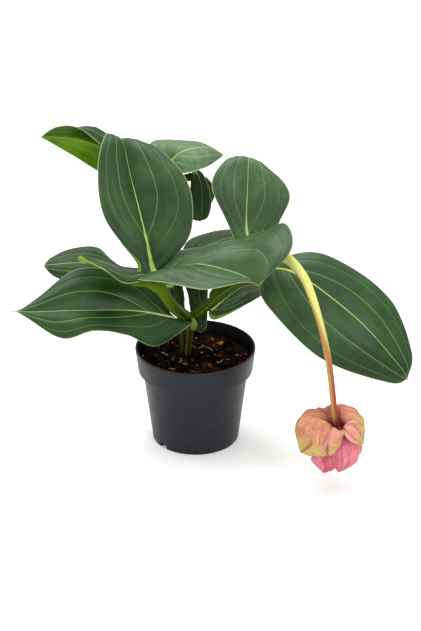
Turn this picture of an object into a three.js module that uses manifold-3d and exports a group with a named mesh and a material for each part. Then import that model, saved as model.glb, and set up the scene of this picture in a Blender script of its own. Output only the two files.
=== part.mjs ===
// A medinilla in its nursery pot: broad leaves on fleshy four-angled stems and one hanging bloom.
// Millimetres, +Z up. The origin is the centre of the flat bottom of the pot.
import * as THREE from 'three';
import Module from 'manifold-3d';
import { mergeVertices } from 'three/addons/utils/BufferGeometryUtils.js';

const wasm = await Module();
wasm.setup();

// ---- Driving dimensions -------------------------------------------------------------------

const GAP = 0.3;                 // between pieces that touch

const POT = {
  height: 100, sides: 48, floor: 2.2, wall: 1.8,
  footRadius: 43.2, shoulderRadius: 52.4, shoulderHeight: 74,
  bandRadius: 57.2, bandHeight: 76, rimRadius: 60, rimRound: 0.6,
};
// One notch in the corner of the foot, turned in degrees from +X, and round holes in the floor.
const NOTCH = { turn: 222, width: 9, depth: 8, height: 4.5 };
const DRAIN = { count: 8, radius: 3.5, ring: 31, sides: 12 };

// The soil's top is domed in rings, each [share of the top radius, height above SOIL.top].
const SOIL = { top: 87, rings: [[1, -1], [0.8, 0], [0.55, 0.5], [0.3, 0.5], [0.1, 0]] };
const LUMP = { height: 1.0, pitch: 9, above: 86.5 };

const STEM_FOOT = 58;            // height of the stems' lower ends, in the soil
const STEM = { steps: 10, sides: 8, ridge: 0.07 };   // ridge: how far its four angles stand out
const KNOB = { around: 12, down: 8 };

// Where the stems branch and carry leaves: the middle and the radius of each swollen joint.
const JOINTS = {
  base: { at: [-5, 3, 119], radius: 6.2 },
  fork: { at: [-5, 2, 129], radius: 6.5 },
  front: { at: [-38, -24, 185], radius: 7.0 },
  side: { at: [11, 0, 144], radius: 5.2 },
  right: { at: [60, -5, 185], radius: 6.5 },
  low: { at: [-18, 38, 150], radius: 6.0 },
  middle: { at: [-20, 43, 174], radius: 5.5 },
  high: { at: [-32, 52, 260], radius: 5.5 },
  top: { at: [-5, 57, 258], radius: 4.2 },
};

// Shoots: each runs through its points and tapers from the first radius to the second.
const FRONT_SHOOTS = [
  { through: [[-6, 3, STEM_FOOT], [-6, 3, 90], [-5, 3, 108], [-5, 2, 129]], radii: [5.5, 5.0] },
  { through: [[-5, 2, 129], [-26, -22, 158], [-38, -24, 185]], radii: [5.5, 6.0] },
  { through: [[-5, 2, 129], [11, 0, 144], [30, -2, 164], [60, -5, 185]], radii: [4.5, 5.0] },
];
const BACK_SHOOTS = [
  {
    through: [[-11, 14, STEM_FOOT], [-12, 16, 85], [-14, 27, 118], [-18, 38, 150], [-23, 48, 194],
      [-32, 52, 260]],
    radii: [4.8, 4.2],
  },
  { through: [[-32, 52, 260], [-19, 53, 257], [-5, 57, 258]], radii: [4.0, 3.8] },
];

// The flower stalk leaves the right joint, arches forward and hangs down to the bloom.
const STALK = {
  steps: 26, sides: 10, ridge: 0,
  through: [[72, -17, 199], [87, -28, 210], [104, -46, 200], [113, -60, 184], [122, -75, 158],
    [129, -87, 128], [133, -93, 99], [136, -97, 76]],
  radii: [5.6, 3.8],
};
const BLOOM_AT = [137, -98, 62];  // where the stalk meets the bloom
const STALK_END_GAP = 0.8;        // the stalk's end face is a little slanted

// Leaves. Each has its midrib and its two edges as seen on the upper side with the tip upwards.
// The midrib runs out of the joint that carries the leaf, and the edges share both of its ends.
// bulge is how far each half swells upwards, as a share of its width.
const LEAF_THICKNESS = 0.9;
const LEAF_END = 0.985;          // the blade stops just short of where its edges meet
const ROOTED = 1.5;              // how far inside its joint a midrib starts
const PLAIN_BULGE = [0.08, 0.08];
const BROAD = { rows: 15, columns: [-1, -0.78, -0.5, -0.25, 0, 0.25, 0.5, 0.78, 1] };
const NARROW = { rows: 11, columns: [-1, -0.6, 0, 0.6, 1] };
const LEAVES = [
  {
    name: 'leaf_front_up', joint: 'front',
    rib: [[-42, -16, 198], [-50, -2, 232], [-62, 20, 274], [-71, 44, 302], [-79, 58, 288]],
    left: [[-52, -20, 199], [-86, -12, 243], [-93, 10, 286], [-86, 40, 310]],
    right: [[-29, -18, 200], [-4, -10, 233], [-9, 8, 275], [-42, 40, 298]],
  },
  {
    name: 'leaf_right_up', joint: 'right',
    rib: [[55, 6, 195], [50, 18, 222], [51, 32, 257], [52, 48, 282], [50, 66, 262]],
    left: [[46, 8, 195], [31, 14, 228], [16, 24, 264], [32, 48, 281]],
    right: [[65, 8, 196], [83, 16, 229], [92, 24, 254], [73, 48, 269]],
  },
  {
    name: 'leaf_front_broad', joint: 'front',
    rib: [[-24, -30, 196], [2, -33, 205], [37, -45, 202], [54, -60, 200], [61, -68, 199]],
    left: [[-26, -14, 196], [10, 4, 206], [78, -10, 234], [90, -48, 222]],
    right: [[-54, -48, 196], [-27, -58, 197], [10, -72, 197], [40, -79, 199]],
  },
  {
    name: 'leaf_front_left', joint: 'front', small: true,
    rib: [[-50, -31, 193], [-66, -35, 193], [-87, -38, 205], [-103, -40, 213], [-110, -41, 215]],
    left: [[-48, -40, 191], [-67, -54, 195], [-85, -56, 210], [-102, -47, 214]],
    right: [[-50, -24, 193], [-71, -12, 190], [-88, -12, 197], [-102, -28, 209]],
  },
  {
    name: 'leaf_low_left', joint: 'base',
    rib: [[-21, -15, 139], [-59, -28, 153], [-112, -44, 161], [-155, -57, 166], [-172, -60, 168]],
    left: [[-3, -14, 124], [-33, -30, 117], [-68, -50, 139], [-96, -62, 148], [-126, -72, 144],
      [-157, -66, 159]],
    right: [[-22, -14, 141], [-52, -2, 174], [-110, -10, 190], [-152, -42, 175]],
  },
  {
    name: 'leaf_back_left', joint: 'low',
    rib: [[-29, 30, 152], [-59, 26, 162], [-104, 26, 178], [-141, 20, 179], [-149, 18, 177]],
    left: [[-31, 22, 145], [-59, 12, 156], [-102, 8, 162], [-139, 10, 170]],
    right: [[-29, 36, 156], [-46, 46, 160], [-78, 56, 164], [-102, 60, 179], [-128, 54, 179],
      [-144, 34, 179]],
  },
  {
    name: 'leaf_right_low', joint: 'right',
    rib: [[74, 3, 184], [102, -12, 183], [156, -34, 148], [197, -48, 105], [207, -50, 89]],
    left: [[81, 10, 191], [126, 10, 196], [187, -6, 160], [211, -36, 114]],
    right: [[62, 3, 167], [72, -30, 156], [122, -52, 113], [187, -56, 89]],
  },
  {
    name: 'leaf_right_inner', joint: 'side', small: true,
    rib: [[17, 12, 135], [27, 22, 139], [48, 37, 148], [67, 51, 142], [73, 54, 139]],
    left: [[14, 18, 140], [16, 34, 146], [41, 56, 155], [65, 62, 147]],
    right: [[17, 8, 128], [30, 8, 131], [54, 18, 139], [71, 44, 138]],
  },
  {
    name: 'leaf_hanging_right', joint: 'low', small: true,
    rib: [[-9, 46, 154], [0, 50, 148], [5, 44, 125], [6, 35, 104], [5, 33, 98]],
    left: [[-4, 52, 162], [11, 54, 149], [12, 47, 124], [11, 36, 104]],
    right: [[-12, 45, 147], [-8, 46, 135], [-6, 40, 123], [-2, 33, 104]],
  },
  {
    name: 'leaf_hanging_back', joint: 'low', small: true,
    rib: [[-23, 50, 156], [-26, 54, 149], [-23, 54, 134], [-17, 50, 122], [-15, 48, 118]],
    left: [[-17, 56, 157], [-14, 58, 143], [-11, 55, 127], [-12, 49, 118]],
    right: [[-30, 48, 157], [-35, 50, 147], [-31, 50, 134], [-23, 47, 124]],
  },
  {
    name: 'leaf_top_left', joint: 'high', bulge: [0.5, 0.1],
    rib: [[-45, 64, 258], [-77, 78, 274], [-115, 66, 294], [-143, 52, 303], [-149, 48, 303]],
    left: [[-43, 62, 265], [-80, 68, 282], [-108, 50, 306], [-138, 46, 312]],
    right: [[-45, 66, 247], [-83, 78, 248], [-122, 70, 276], [-144, 54, 297]],
  },
  {
    name: 'leaf_top_right', joint: 'high',
    rib: [[-24, 56, 274], [-12, 60, 284], [11, 68, 285], [24, 77, 276], [28, 80, 272]],
    left: [[-47, 66, 281], [-38, 80, 288], [-4, 88, 283], [18, 86, 274]],
    right: [[-19, 50, 266], [-8, 45, 267], [11, 50, 271], [24, 68, 273]],
  },
  {
    name: 'leaf_top_hanging', joint: 'top', small: true,
    rib: [[1, 62, 262], [5, 66, 253], [8, 64, 237], [7, 59, 215], [5, 57, 210]],
    left: [[4, 65, 262], [12, 67, 251], [17, 65, 230], [12, 60, 212]],
    right: [[-2, 66, 257], [-3, 66, 245], [-3, 60, 228], [0, 56, 213]],
  },
  {
    name: 'leaf_young', joint: 'high', small: true,
    rib: [[-25, 64, 248], [-9, 74, 235], [9, 82, 222], [16, 85, 232], [10, 86, 248]],
    left: [[-24, 66, 251], [-7, 78, 239], [7, 84, 230], [10, 85, 237]],
    right: [[-25, 62, 244], [-10, 72, 230], [12, 82, 216], [20, 86, 232]],
  },
  {
    name: 'leaf_behind', joint: 'middle',
    rib: [[-11, 44, 176], [4, 48, 184], [27, 62, 188], [45, 76, 186], [51, 80, 182]],
    left: [[-14, 50, 180], [-5, 64, 188], [23, 84, 189], [45, 86, 188]],
    right: [[-8, 38, 170], [11, 30, 178], [36, 44, 183], [51, 70, 181]],
  },
];

// Bracts of the bloom, in mm from BLOOM_AT: four hoods round the stalk, and four that hang below
// them and close over the bud. Each has a midrib and two edges, as a leaf has.
const BRACTS = [
  {
    rib: [[-3, -1, -3], [-15, -3, 11], [-30, -7, 18], [-39, -12, 11], [-39, -15, -3], [-36, -12, -20]],
    left: [[-5, -5, 0], [-8, -13, -1], [-12, -19, -10], [-11, -19, -20], [-24, -17, -21]],
    right: [[-8, 6, 8], [-20, 12, 14], [-34, 8, 11], [-41, -2, 3], [-39, -8, -8]],
    bulge: [0.2, 0.04],
  },
  {
    rib: [[0, -3, -3], [1, -9, 2], [1, -14, -1], [-3, -17, -9], [-7, -17, -21]],
    left: [[3, -5, 0], [6, -10, 1], [2, -15, -9], [-3, -17, -17]],
    right: [[-5, -5, 3], [-9, -11, 1], [-12, -16, -9], [-10, -17, -18]],
    bulge: [0.08, 0.05],
  },
  {
    rib: [[3, -1, -3], [11, -2, 7], [19, -3, 8], [24, -5, 0], [24, -8, -13]],
    left: [[3, 7, 3], [1, 17, 16], [12, 17, 16], [21, 9, 11], [25, 1, 6]],
    right: [[4, -5, 0], [6, -11, -2], [12, -13, -8], [19, -11, -12]],
    bulge: [0.06, 0.12],
  },
  {
    rib: [[0, 3, -3], [-4, 12, 8], [-9, 22, 11], [-13, 29, 4], [-14, 31, -8]],
    left: [[-7, 4, 4], [-18, 9, 10], [-23, 18, 9], [-22, 28, 1]],
    right: [[4, 6, 4], [5, 17, 13], [0, 28, 10], [-7, 32, 0]],
    bulge: [0.1, 0.1],
  },
  {
    rib: [[-3, -4, -7], [-10, -12, -13], [-12, -15, -24], [-11, -13, -36], [-13, -6, -46]],
    left: [[3, -7, -9], [3, -14, -18], [2, -13, -33], [-6, -8, -42]],
    right: [[-8, -4, -9], [-20, -6, -18], [-25, -7, -29], [-19, -6, -40]],
    bulge: [0.16, 0.16],
  },
  {
    rib: [[4, -4, -4], [9, -11, -8], [11, -16, -18], [9, -15, -31], [1, -8, -44]],
    left: [[9, 0, -6], [21, -4, -12], [22, -4, -26], [13, -5, -39]],
    right: [[-1, -9, -7], [-5, -16, -20], [-3, -14, -32], [-1, -10, -40]],
    bulge: [0.16, 0.14],
  },
  {
    rib: [[4, 4, -5], [13, 13, -9], [16, 16, -22], [11, 12, -35], [3, 3, -43]],
    left: [[-3, 6, -7], [-5, 19, -17], [-5, 18, -31], [-1, 9, -40]],
    right: [[8, 1, -6], [21, 5, -13], [21, 4, -28], [12, 1, -39]],
    bulge: [0.16, 0.16],
  },
  {
    rib: [[-4, 4, -6], [-13, 12, -11], [-17, 14, -24], [-13, 10, -36], [-5, 2, -44]],
    left: [[-7, 0, -7], [-21, 2, -15], [-24, 0, -28], [-14, -2, -40]],
    right: [[2, 6, -8], [3, 18, -18], [1, 17, -31], [-1, 8, -40]],
    bulge: [0.16, 0.16],
  },
];
const BRACT = {
  thickness: 1.0, rows: 11, columns: [-1, -0.7, -0.35, 0, 0.35, 0.7, 1],
  start: 0.03, end: 0.985,       // shares of its midrib
};
// The bud and the seat of the bracts above it: [radius, height], bottom first.
const BUD = { sides: 16, profile: [[4.2, -34], [7.2, -27], [9, -17], [7.6, -8], [7, -2], [5.5, 0]] };

// ---- Curves and closed skins --------------------------------------------------------------

const vec = (p) => new THREE.Vector3(...p);
const curveThrough = (points) => new THREE.CatmullRomCurve3(points, false, 'catmullrom', 0.5);
const share = (i, count) => i / (count - 1);

/** A closed geometry from rings of one length: neighbours are joined and both ends capped. */
function loft(rings) {
  const n = rings[0].length;
  const half = n / 2;
  const index = [];
  const quad = (a, b, c, d) => index.push(a, b, c, a, c, d);
  for (let r = 0; r + 1 < rings.length; r++) {
    for (let k = 0; k < n; k++) {
      const next = (k + 1) % n;
      const [a, b, c, d] = [r * n + k, r * n + next, (r + 1) * n + next, (r + 1) * n + k];
      // The second half of a ring is the first one's underside, so its quads split the same way.
      if (k < half) quad(a, b, c, d);
      else quad(b, c, d, a);
    }
  }
  const last = (rings.length - 1) * n;
  for (let k = 0; k + 1 < half; k++) {
    const cap = [k, k + 1, n - 2 - k, n - 1 - k];
    quad(cap[3], cap[2], cap[1], cap[0]);
    quad(...cap.map((i) => i + last));
  }
  const corners = rings.flat().flatMap((corner) => corner.toArray());
  const geometry = new THREE.BufferGeometry();
  geometry.setAttribute('position', new THREE.Float32BufferAttribute(corners, 3));
  geometry.setIndex(facingOut(geometry, index));
  return geometry;
}

/** The index with every triangle turned over if the skin encloses a negative volume. */
function facingOut(geometry, index) {
  const position = geometry.attributes.position;
  const corner = (i) => new THREE.Vector3().fromBufferAttribute(position, index[i]);
  let volume = 0;
  for (let i = 0; i < index.length; i += 3) {
    volume += corner(i).dot(corner(i + 1).cross(corner(i + 2)));
  }
  return volume > 0 ? index : index.toReversed();
}

/** A sheet of even thickness about surface(s, v): s runs from base to tip, v from -1 to 1. */
function sheet(surface, rows, columns, thickness) {
  const step = 0.02;
  const normal = (s, v) => {
    const along = surface(Math.min(s + step, 1), v).sub(surface(Math.max(s - step, 0), v));
    const across = surface(s, Math.min(v + step, 1)).sub(surface(s, Math.max(v - step, -1)));
    return across.cross(along).normalize();
  };
  return loft(rows.map((s) => {
    const face = (offset) => columns.map((v) => surface(s, v).addScaledVector(normal(s, v), offset));
    return [...face(thickness / 2), ...face(-thickness / 2).toReversed()];
  }));
}

/** A solid rod through points, tapered, and four-angled when ridge is above 0. */
function rod(points, [startRadius, endRadius], { steps, sides, ridge }) {
  const curve = curveThrough(points.map(vec));
  const frames = curve.computeFrenetFrames(steps, false);
  return loft(frames.normals.map((normal, i) => {
    const middle = curve.getPointAt(i / steps);
    const taper = THREE.MathUtils.lerp(startRadius, endRadius, i / steps);
    return Array.from({ length: sides }, (_, k) => {
      const angle = 2 * Math.PI * k / sides;
      const radius = taper * (1 + ridge * Math.cos(4 * angle));
      return middle.clone()
        .addScaledVector(normal, radius * Math.cos(angle))
        .addScaledVector(frames.binormals[i], radius * Math.sin(angle));
    });
  }));
}

/** A solid turned about Z from [radius, height] pairs, bottom first. */
function turned(profile, sides = POT.sides) {
  return loft(profile.map(([radius, height]) => Array.from({ length: sides }, (_, k) => {
    const angle = 2 * Math.PI * k / sides;
    return new THREE.Vector3(radius * Math.cos(angle), radius * Math.sin(angle), height);
  })));
}

// ---- Joining and cutting ------------------------------------------------------------------

function solid(geometry) {
  const bare = geometry.clone();
  bare.deleteAttribute('normal');
  bare.deleteAttribute('uv');
  const merged = mergeVertices(bare, 1e-5);
  const index = merged.index.array;
  const whole = [];
  for (let i = 0; i < index.length; i += 3) {
    const [a, b, c] = index.slice(i, i + 3);
    if (a !== b && b !== c && c !== a) whole.push(a, b, c);
  }
  return new wasm.Manifold(new wasm.Mesh({
    numProp: 3,
    vertProperties: new Float32Array(merged.attributes.position.array),
    triVerts: new Uint32Array(whole),
  }));
}

function geometryOf(manifold) {
  const mesh = manifold.getMesh();
  const geometry = new THREE.BufferGeometry();
  geometry.setAttribute('position', new THREE.BufferAttribute(mesh.vertProperties, 3));
  geometry.setIndex(new THREE.BufferAttribute(mesh.triVerts, 1));
  return geometry;
}

/** One closed geometry of several that run into each other. */
function joined(geometries) {
  return geometryOf(geometries.map(solid).reduce((whole, part) => whole.add(part)));
}

// ---- Pot and soil -------------------------------------------------------------------------

function potGeometry() {
  const { height, floor, wall, footRadius, shoulderRadius, shoulderHeight } = POT;
  const { bandRadius, bandHeight, rimRadius } = POT;
  const outer = turned([
    [footRadius, 0], [shoulderRadius, shoulderHeight], [bandRadius, bandHeight],
    [rimRadius, height - POT.rimRound], [rimRadius - POT.rimRound, height],
  ]);
  const inner = turned([
    [footRadius - wall, floor], [shoulderRadius - wall, shoulderHeight],
    [bandRadius - wall, bandHeight + wall], [rimRadius - wall, height + 1],
  ]);
  const notch = new THREE.BoxGeometry(NOTCH.depth * 2, NOTCH.width, NOTCH.height * 2);
  notch.translate(footRadius, 0, 0).rotateZ(THREE.MathUtils.degToRad(NOTCH.turn));
  let pot = solid(outer).subtract(solid(inner)).subtract(solid(notch));
  for (let i = 0; i < DRAIN.count; i++) {
    const hole = new THREE.CylinderGeometry(DRAIN.radius, DRAIN.radius, floor * 4, DRAIN.sides);
    const turn = 2 * Math.PI * (i + 0.5) / DRAIN.count;
    hole.rotateX(Math.PI / 2).translate(DRAIN.ring, 0, 0).rotateZ(turn);
    pot = pot.subtract(solid(hole));
  }
  return geometryOf(pot);
}

/** Fills the pot to a little under its rim, with a lumpy top and a plain hole for each stem. */
function soilGeometry() {
  const side = POT.wall + GAP;
  const bandSlope = (POT.rimRadius - POT.bandRadius) / (POT.height - POT.bandHeight);
  const topRadius = POT.bandRadius + bandSlope * (SOIL.top - POT.bandHeight) - side - GAP;
  const ground = turned([
    [POT.footRadius - side, POT.floor + GAP], [POT.shoulderRadius - side, POT.shoulderHeight + GAP],
    [POT.bandRadius - side, POT.bandHeight + side],
    ...SOIL.rings.map(([reach, rise]) => [topRadius * reach, SOIL.top + rise]),
  ]);
  const position = ground.attributes.position;
  for (let i = 0; i < position.count; i++) {
    const [x, y, z] = [position.getX(i), position.getY(i), position.getZ(i)];
    if (z < LUMP.above) continue;
    const lump = Math.sin(x / LUMP.pitch + 1) * Math.cos(y / LUMP.pitch - 2);
    position.setZ(i, z + LUMP.height * lump);
  }
  const holes = [FRONT_SHOOTS[0], BACK_SHOOTS[0]].map(({ through, radii }) => {
    const [foot, ...rest] = through;
    const path = [[foot[0], foot[1], foot[2] - GAP], ...rest];
    const wide = radii.map((radius) => radius + GAP);
    return solid(rod(path, wide, STEM));
  });
  return geometryOf(holes.reduce((left, hole) => left.subtract(hole), solid(ground)));
}

// ---- Stems and flower stalk ---------------------------------------------------------------

function knob({ at, radius }) {
  return new THREE.SphereGeometry(radius, KNOB.around, KNOB.down).translate(...at);
}

function stemGeometry(shoots, joints) {
  const rods = shoots.map(({ through, radii }) => rod(through, radii, STEM));
  return joined([...rods, ...joints.map((name) => knob(JOINTS[name]))]);
}

/** The point on a joint's surface, plus a gap, on the way to a target. */
function seat(jointName, target, gap) {
  const { at, radius } = JOINTS[jointName];
  const outward = vec(target).sub(vec(at)).normalize();
  return vec(at).addScaledVector(outward, radius + gap).toArray();
}

function stalkGeometry() {
  const end = [BLOOM_AT[0], BLOOM_AT[1], BLOOM_AT[2] + STALK_END_GAP];
  const start = seat('right', STALK.through[0], GAP);
  return rod([start, ...STALK.through, end], STALK.radii, STALK);
}

// ---- Leaves -------------------------------------------------------------------------------

/** The middle surface of a blade as a function of s (base to tip) and v (left edge to right). */
function bladeSurface({ rib, left, right, bulge = PLAIN_BULGE }) {
  const ribPoints = rib.map(vec);
  const tip = ribPoints.at(-1);
  const ribCurve = curveThrough(ribPoints);
  const edges = [left, right].map((edge) => curveThrough([ribPoints[0], ...edge.map(vec), tip]));
  const end = 0.06;                // the edges meet there, so a half's normal is taken inside it
  const step = 0.02;
  return (s, v) => {
    const side = v < 0 ? 0 : 1;
    const middle = ribCurve.getPoint(s);
    const edge = edges[side].getPoint(s);
    const inside = THREE.MathUtils.clamp(s, end, 1 - end);
    const ahead = ribCurve.getPoint(Math.min(s + step, 1));
    const along = ahead.sub(ribCurve.getPoint(Math.max(s - step, 0)));
    const across = edges[side].getPoint(inside).sub(ribCurve.getPoint(inside));
    const up = across.multiplyScalar(side ? 1 : -1).cross(along).normalize();
    const out = Math.abs(v);
    const swell = 4 * bulge[side] * middle.distanceTo(edge) * out * (1 - out);
    return middle.lerp(edge, out).addScaledVector(up, swell);
  };
}

/** The first station where the whole width of a leaf is clear of the joint that carries it. */
function clearOfJoint(surface, { at, radius }) {
  const centre = vec(at);
  const reach = radius + GAP + LEAF_THICKNESS / 2;
  const step = 0.001;
  let s = step;
  while ([-1, 0, 1].some((v) => surface(s, v).distanceTo(centre) < reach)) s += step;
  return s;
}

function leafGeometry(leaf) {
  const { rows, columns } = leaf.small ? NARROW : BROAD;
  const rib = [seat(leaf.joint, leaf.rib[0], -ROOTED), ...leaf.rib];
  const surface = bladeSurface({ ...leaf, rib });
  const first = clearOfJoint(surface, JOINTS[leaf.joint]);
  const station = (_, i) => THREE.MathUtils.lerp(first, LEAF_END, share(i, rows));
  return sheet(surface, Array.from({ length: rows }, station), columns, LEAF_THICKNESS);
}

// ---- Bloom --------------------------------------------------------------------------------

function bractGeometry(bract) {
  const { rows, columns, thickness, start, end } = BRACT;
  const station = (_, i) => THREE.MathUtils.lerp(start, end, share(i, rows));
  return sheet(bladeSurface(bract), Array.from({ length: rows }, station), columns, thickness);
}

function bloomGeometry() {
  const bud = turned(BUD.profile, BUD.sides);
  return joined([bud, ...BRACTS.map(bractGeometry)]).translate(...BLOOM_AT);
}

// ---- The plant ----------------------------------------------------------------------------

const LOOKS = {
  pot: { color: 0x3c3d42, roughness: 0.45 },
  soil: { color: 0x3a2418, roughness: 1.0 },
  stem: { color: 0x6b7a2a, roughness: 0.5 },
  stalk: { color: 0xc8a850, roughness: 0.45 },
  leaf: { color: 0x2f5236, roughness: 0.4 },
  bloom: { color: 0xd98a7c, roughness: 0.55 },
};

function piece(name, geometry, look) {
  geometry.computeVertexNormals();
  const material = new THREE.MeshStandardMaterial({ ...LOOKS[look], metalness: 0, flatShading: true });
  const mesh = new THREE.Mesh(geometry, material);
  mesh.name = name;
  return mesh;
}

const plant = new THREE.Group();
plant.add(
  piece('pot', potGeometry(), 'pot'),
  piece('soil', soilGeometry(), 'soil'),
  piece('stem_front', stemGeometry(FRONT_SHOOTS, ['base', 'fork', 'front', 'side', 'right']), 'stem'),
  piece('stem_back', stemGeometry(BACK_SHOOTS, ['low', 'middle', 'high', 'top']), 'stem'),
  piece('flower_stalk', stalkGeometry(), 'stalk'),
  piece('bloom', bloomGeometry(), 'bloom'),
  ...LEAVES.map((leaf) => piece(leaf.name, leafGeometry(leaf), 'leaf')),
);

export default plant;
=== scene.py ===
import math

import bpy
import numpy as np
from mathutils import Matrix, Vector, noise


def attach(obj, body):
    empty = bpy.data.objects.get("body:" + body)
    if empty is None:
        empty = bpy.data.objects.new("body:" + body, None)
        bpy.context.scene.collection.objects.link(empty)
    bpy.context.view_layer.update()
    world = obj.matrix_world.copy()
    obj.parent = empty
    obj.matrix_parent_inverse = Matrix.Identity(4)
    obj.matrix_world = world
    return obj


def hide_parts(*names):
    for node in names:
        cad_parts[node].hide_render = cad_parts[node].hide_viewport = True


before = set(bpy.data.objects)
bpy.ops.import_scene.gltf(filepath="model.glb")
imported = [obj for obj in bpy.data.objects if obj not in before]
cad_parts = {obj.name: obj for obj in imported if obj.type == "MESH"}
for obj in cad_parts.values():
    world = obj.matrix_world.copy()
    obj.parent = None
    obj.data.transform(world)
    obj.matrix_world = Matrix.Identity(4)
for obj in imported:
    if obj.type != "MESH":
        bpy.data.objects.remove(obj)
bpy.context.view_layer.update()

# ---- The pot -------------------------------------------------------------------------------
# A round grower's pot, injection moulded in one piece from charcoal polypropylene: a tapered
# body with rounded corners, a wider band under the rim, one notch in the foot and drain holes
# in the floor. Its skin is fine-grained, a little dusty, rubbed lighter in patches and lighter
# along its lip, with painted shade in the corner under the band and inside, where the shade also
# stands for peat stain.

MM = 0.001
POT_SIDES = 192
# The wall's outline: [radius, height, corner radius] in mm, up the outside and down the inside.
POT_OUTLINE = [
    (0.0, 0.0, 0.0), (43.2, 0.0, 1.2), (52.4, 74.0, 1.0), (57.2, 76.0, 0.5), (59.95, 99.3, 0.4),
    (59.5, 100.0, 0.3), (58.1, 100.0, 0.5), (55.4, 77.8, 1.5), (50.6, 74.2, 1.5), (41.4, 2.2, 2.5),
    (0.0, 2.2, 0.0),
]
CORNER_STEPS = 5
NOTCH = {"turn": 222.0, "width": 9.0, "depth": 8.0, "height": 4.5}
DRAIN = {"count": 8, "radius": 3.5, "ring": 31.0, "from": -1.0, "to": 4.0, "sides": 24}
SHARP_EDGE = 38.0                       # degrees
# Heights in metres where the skin changes: the lighter lip, the painted shade in the corner under
# the band, and the painted shade inside, which also stands for peat stain and lies within a cone
# of that slope and radius.
LIP = (0.0985, 0.1)
CORNER_SHADE_FOOT, CORNER_SHADE_TOP = (0.0728, 0.0745), (0.0770, 0.0758)
STAIN_AND_SHADE_FOOT, STAIN_AND_SHADE_TOP = (0.0765, 0.079), (0.0985, 0.092)
INSIDE_SLOPE, INSIDE_RADIUS = 0.119, (0.0473, 0.0468)


class Wire:
    """A socket in a tree of nodes. Arithmetic on it adds Math nodes, and node adds any other."""

    def __init__(self, tree, socket=None):
        self.tree = tree
        self.socket = socket

    @staticmethod
    def pick(sockets, key):
        if isinstance(key, int):
            return sockets[key]
        return next(s for s in sockets if s.enabled and key in (None, s.name))

    def node(self, kind, settings=None, inputs=None, out=None):
        """A new node: its settings come first, then its sockets' values or links."""
        made = self.tree.nodes.new(kind)
        for key, value in (settings or {}).items():
            if key == "stops":
                for n, (place, colour) in enumerate(value):
                    stops = made.color_ramp.elements
                    stop = stops[n] if n < 2 else stops.new(place)
                    stop.position = place
                    stop.color = (*colour, 1.0)
            else:
                setattr(made, key, value)
        for key, value in (inputs or {}).items():
            socket = self.pick(made.inputs, key)
            if isinstance(value, Wire):
                self.tree.links.new(value.socket, socket)
            elif socket.type == "RGBA":
                socket.default_value = (*value, 1.0)
            else:
                socket.default_value = value
        return Wire(self.tree, self.pick(made.outputs, out) if len(made.outputs) else None)

    def out(self, name):
        return Wire(self.tree, self.pick(self.socket.node.outputs, name))

    def math(self, operation, *values):
        return self.node("ShaderNodeMath", {"operation": operation}, dict(enumerate(values)))

    def axis(self, name):
        """A place's measure along X, Y or Z."""
        return self.node("ShaderNodeSeparateXYZ", None, {"Vector": self}, name)

    def scaled(self, factor):
        """A vector drawn out by a factor."""
        return self.node("ShaderNodeVectorMath", {"operation": "SCALE"}, {0: self, "Scale": factor})

    def __add__(self, other):
        return self.math("ADD", self, other)

    def __sub__(self, other):
        return self.math("SUBTRACT", self, other)

    def __rsub__(self, other):
        return self.math("SUBTRACT", other, self)

    def __mul__(self, other):
        return self.math("MULTIPLY", self, other)

    __radd__ = __add__
    __rmul__ = __mul__

    def fade(self, start, end):
        """Runs smoothly from 0 at start to 1 at end."""
        return self.node(
            "ShaderNodeMapRange", {"interpolation_type": "SMOOTHSTEP"},
            {"Value": self, "From Min": start, "From Max": end},
        )

    def blend(self, low, high):
        """The colour low where this is 0 and high where it is 1."""
        return self.node("ShaderNodeMix", {"data_type": "RGBA"}, {"Factor": self, "A": low, "B": high})

    def grain(self, scale, detail=2.0, roughness=0.5):
        """Cloudy noise over this place, from 0 to 1."""
        return self.node(
            "ShaderNodeTexNoise", None,
            {"Vector": self, "Scale": scale, "Detail": detail, "Roughness": roughness}, "Fac",
        )

    def stretched(self, scale):
        """A place with its three measures scaled apart, which draws out the noise over it."""
        return self.node("ShaderNodeMapping", {"vector_type": "POINT"}, {"Vector": self, "Scale": scale})

    def mark(self, name, out="Fac"):
        """What a piece's mesh has stored under that name."""
        return self.node("ShaderNodeAttribute", {"attribute_name": name}, None, out)


def new_finish(name):
    """An empty material, with a Wire to add its nodes and its places in the part's frame."""
    material = bpy.data.materials.new(name)
    material.use_nodes = True
    material.node_tree.nodes.clear()
    wire = Wire(material.node_tree)
    return material, wire, wire.node("ShaderNodeTexCoord", out="Object")


def close_finish(wire, colour, roughness, relief, depth, **others):
    """Ends a material: relief stands depth metres high as bump; the rest go to their sockets."""
    bump = wire.node("ShaderNodeBump", None, {"Strength": 1.0, "Distance": depth, "Height": relief})
    sockets = {name.replace("_", " "): value for name, value in others.items()}
    shader = wire.node("ShaderNodeBsdfPrincipled", None, {
        "Base Color": colour, "Roughness": roughness, "Normal": bump, **sockets,
    })
    wire.node("ShaderNodeOutputMaterial", None, {"Surface": shader})


def store(thing, mark, values):
    """Keeps a number or a vector for each corner of a mesh, under that name."""
    values = np.asarray(values, np.float32)
    vector = values.ndim == 2
    kept = thing.data.attributes.new(mark, "FLOAT_VECTOR" if vector else "FLOAT", "POINT")
    kept.data.foreach_set("vector" if vector else "value", values.ravel())


def plain_mesh(name, corners, faces, finish, marks=None):
    """A mesh in metres from corners in millimetres, with named values stored on its corners."""
    mesh = bpy.data.meshes.new(name)
    mesh.from_pydata((np.asarray(corners) * MM).tolist(), [], [[int(i) for i in f] for f in faces])
    mesh.materials.append(finish)
    mesh.shade_smooth()
    thing = bpy.data.objects.new(name, mesh)
    bpy.context.collection.objects.link(thing)
    for mark, values in (marks or {}).items():
        store(thing, mark, values)
    return thing


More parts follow.
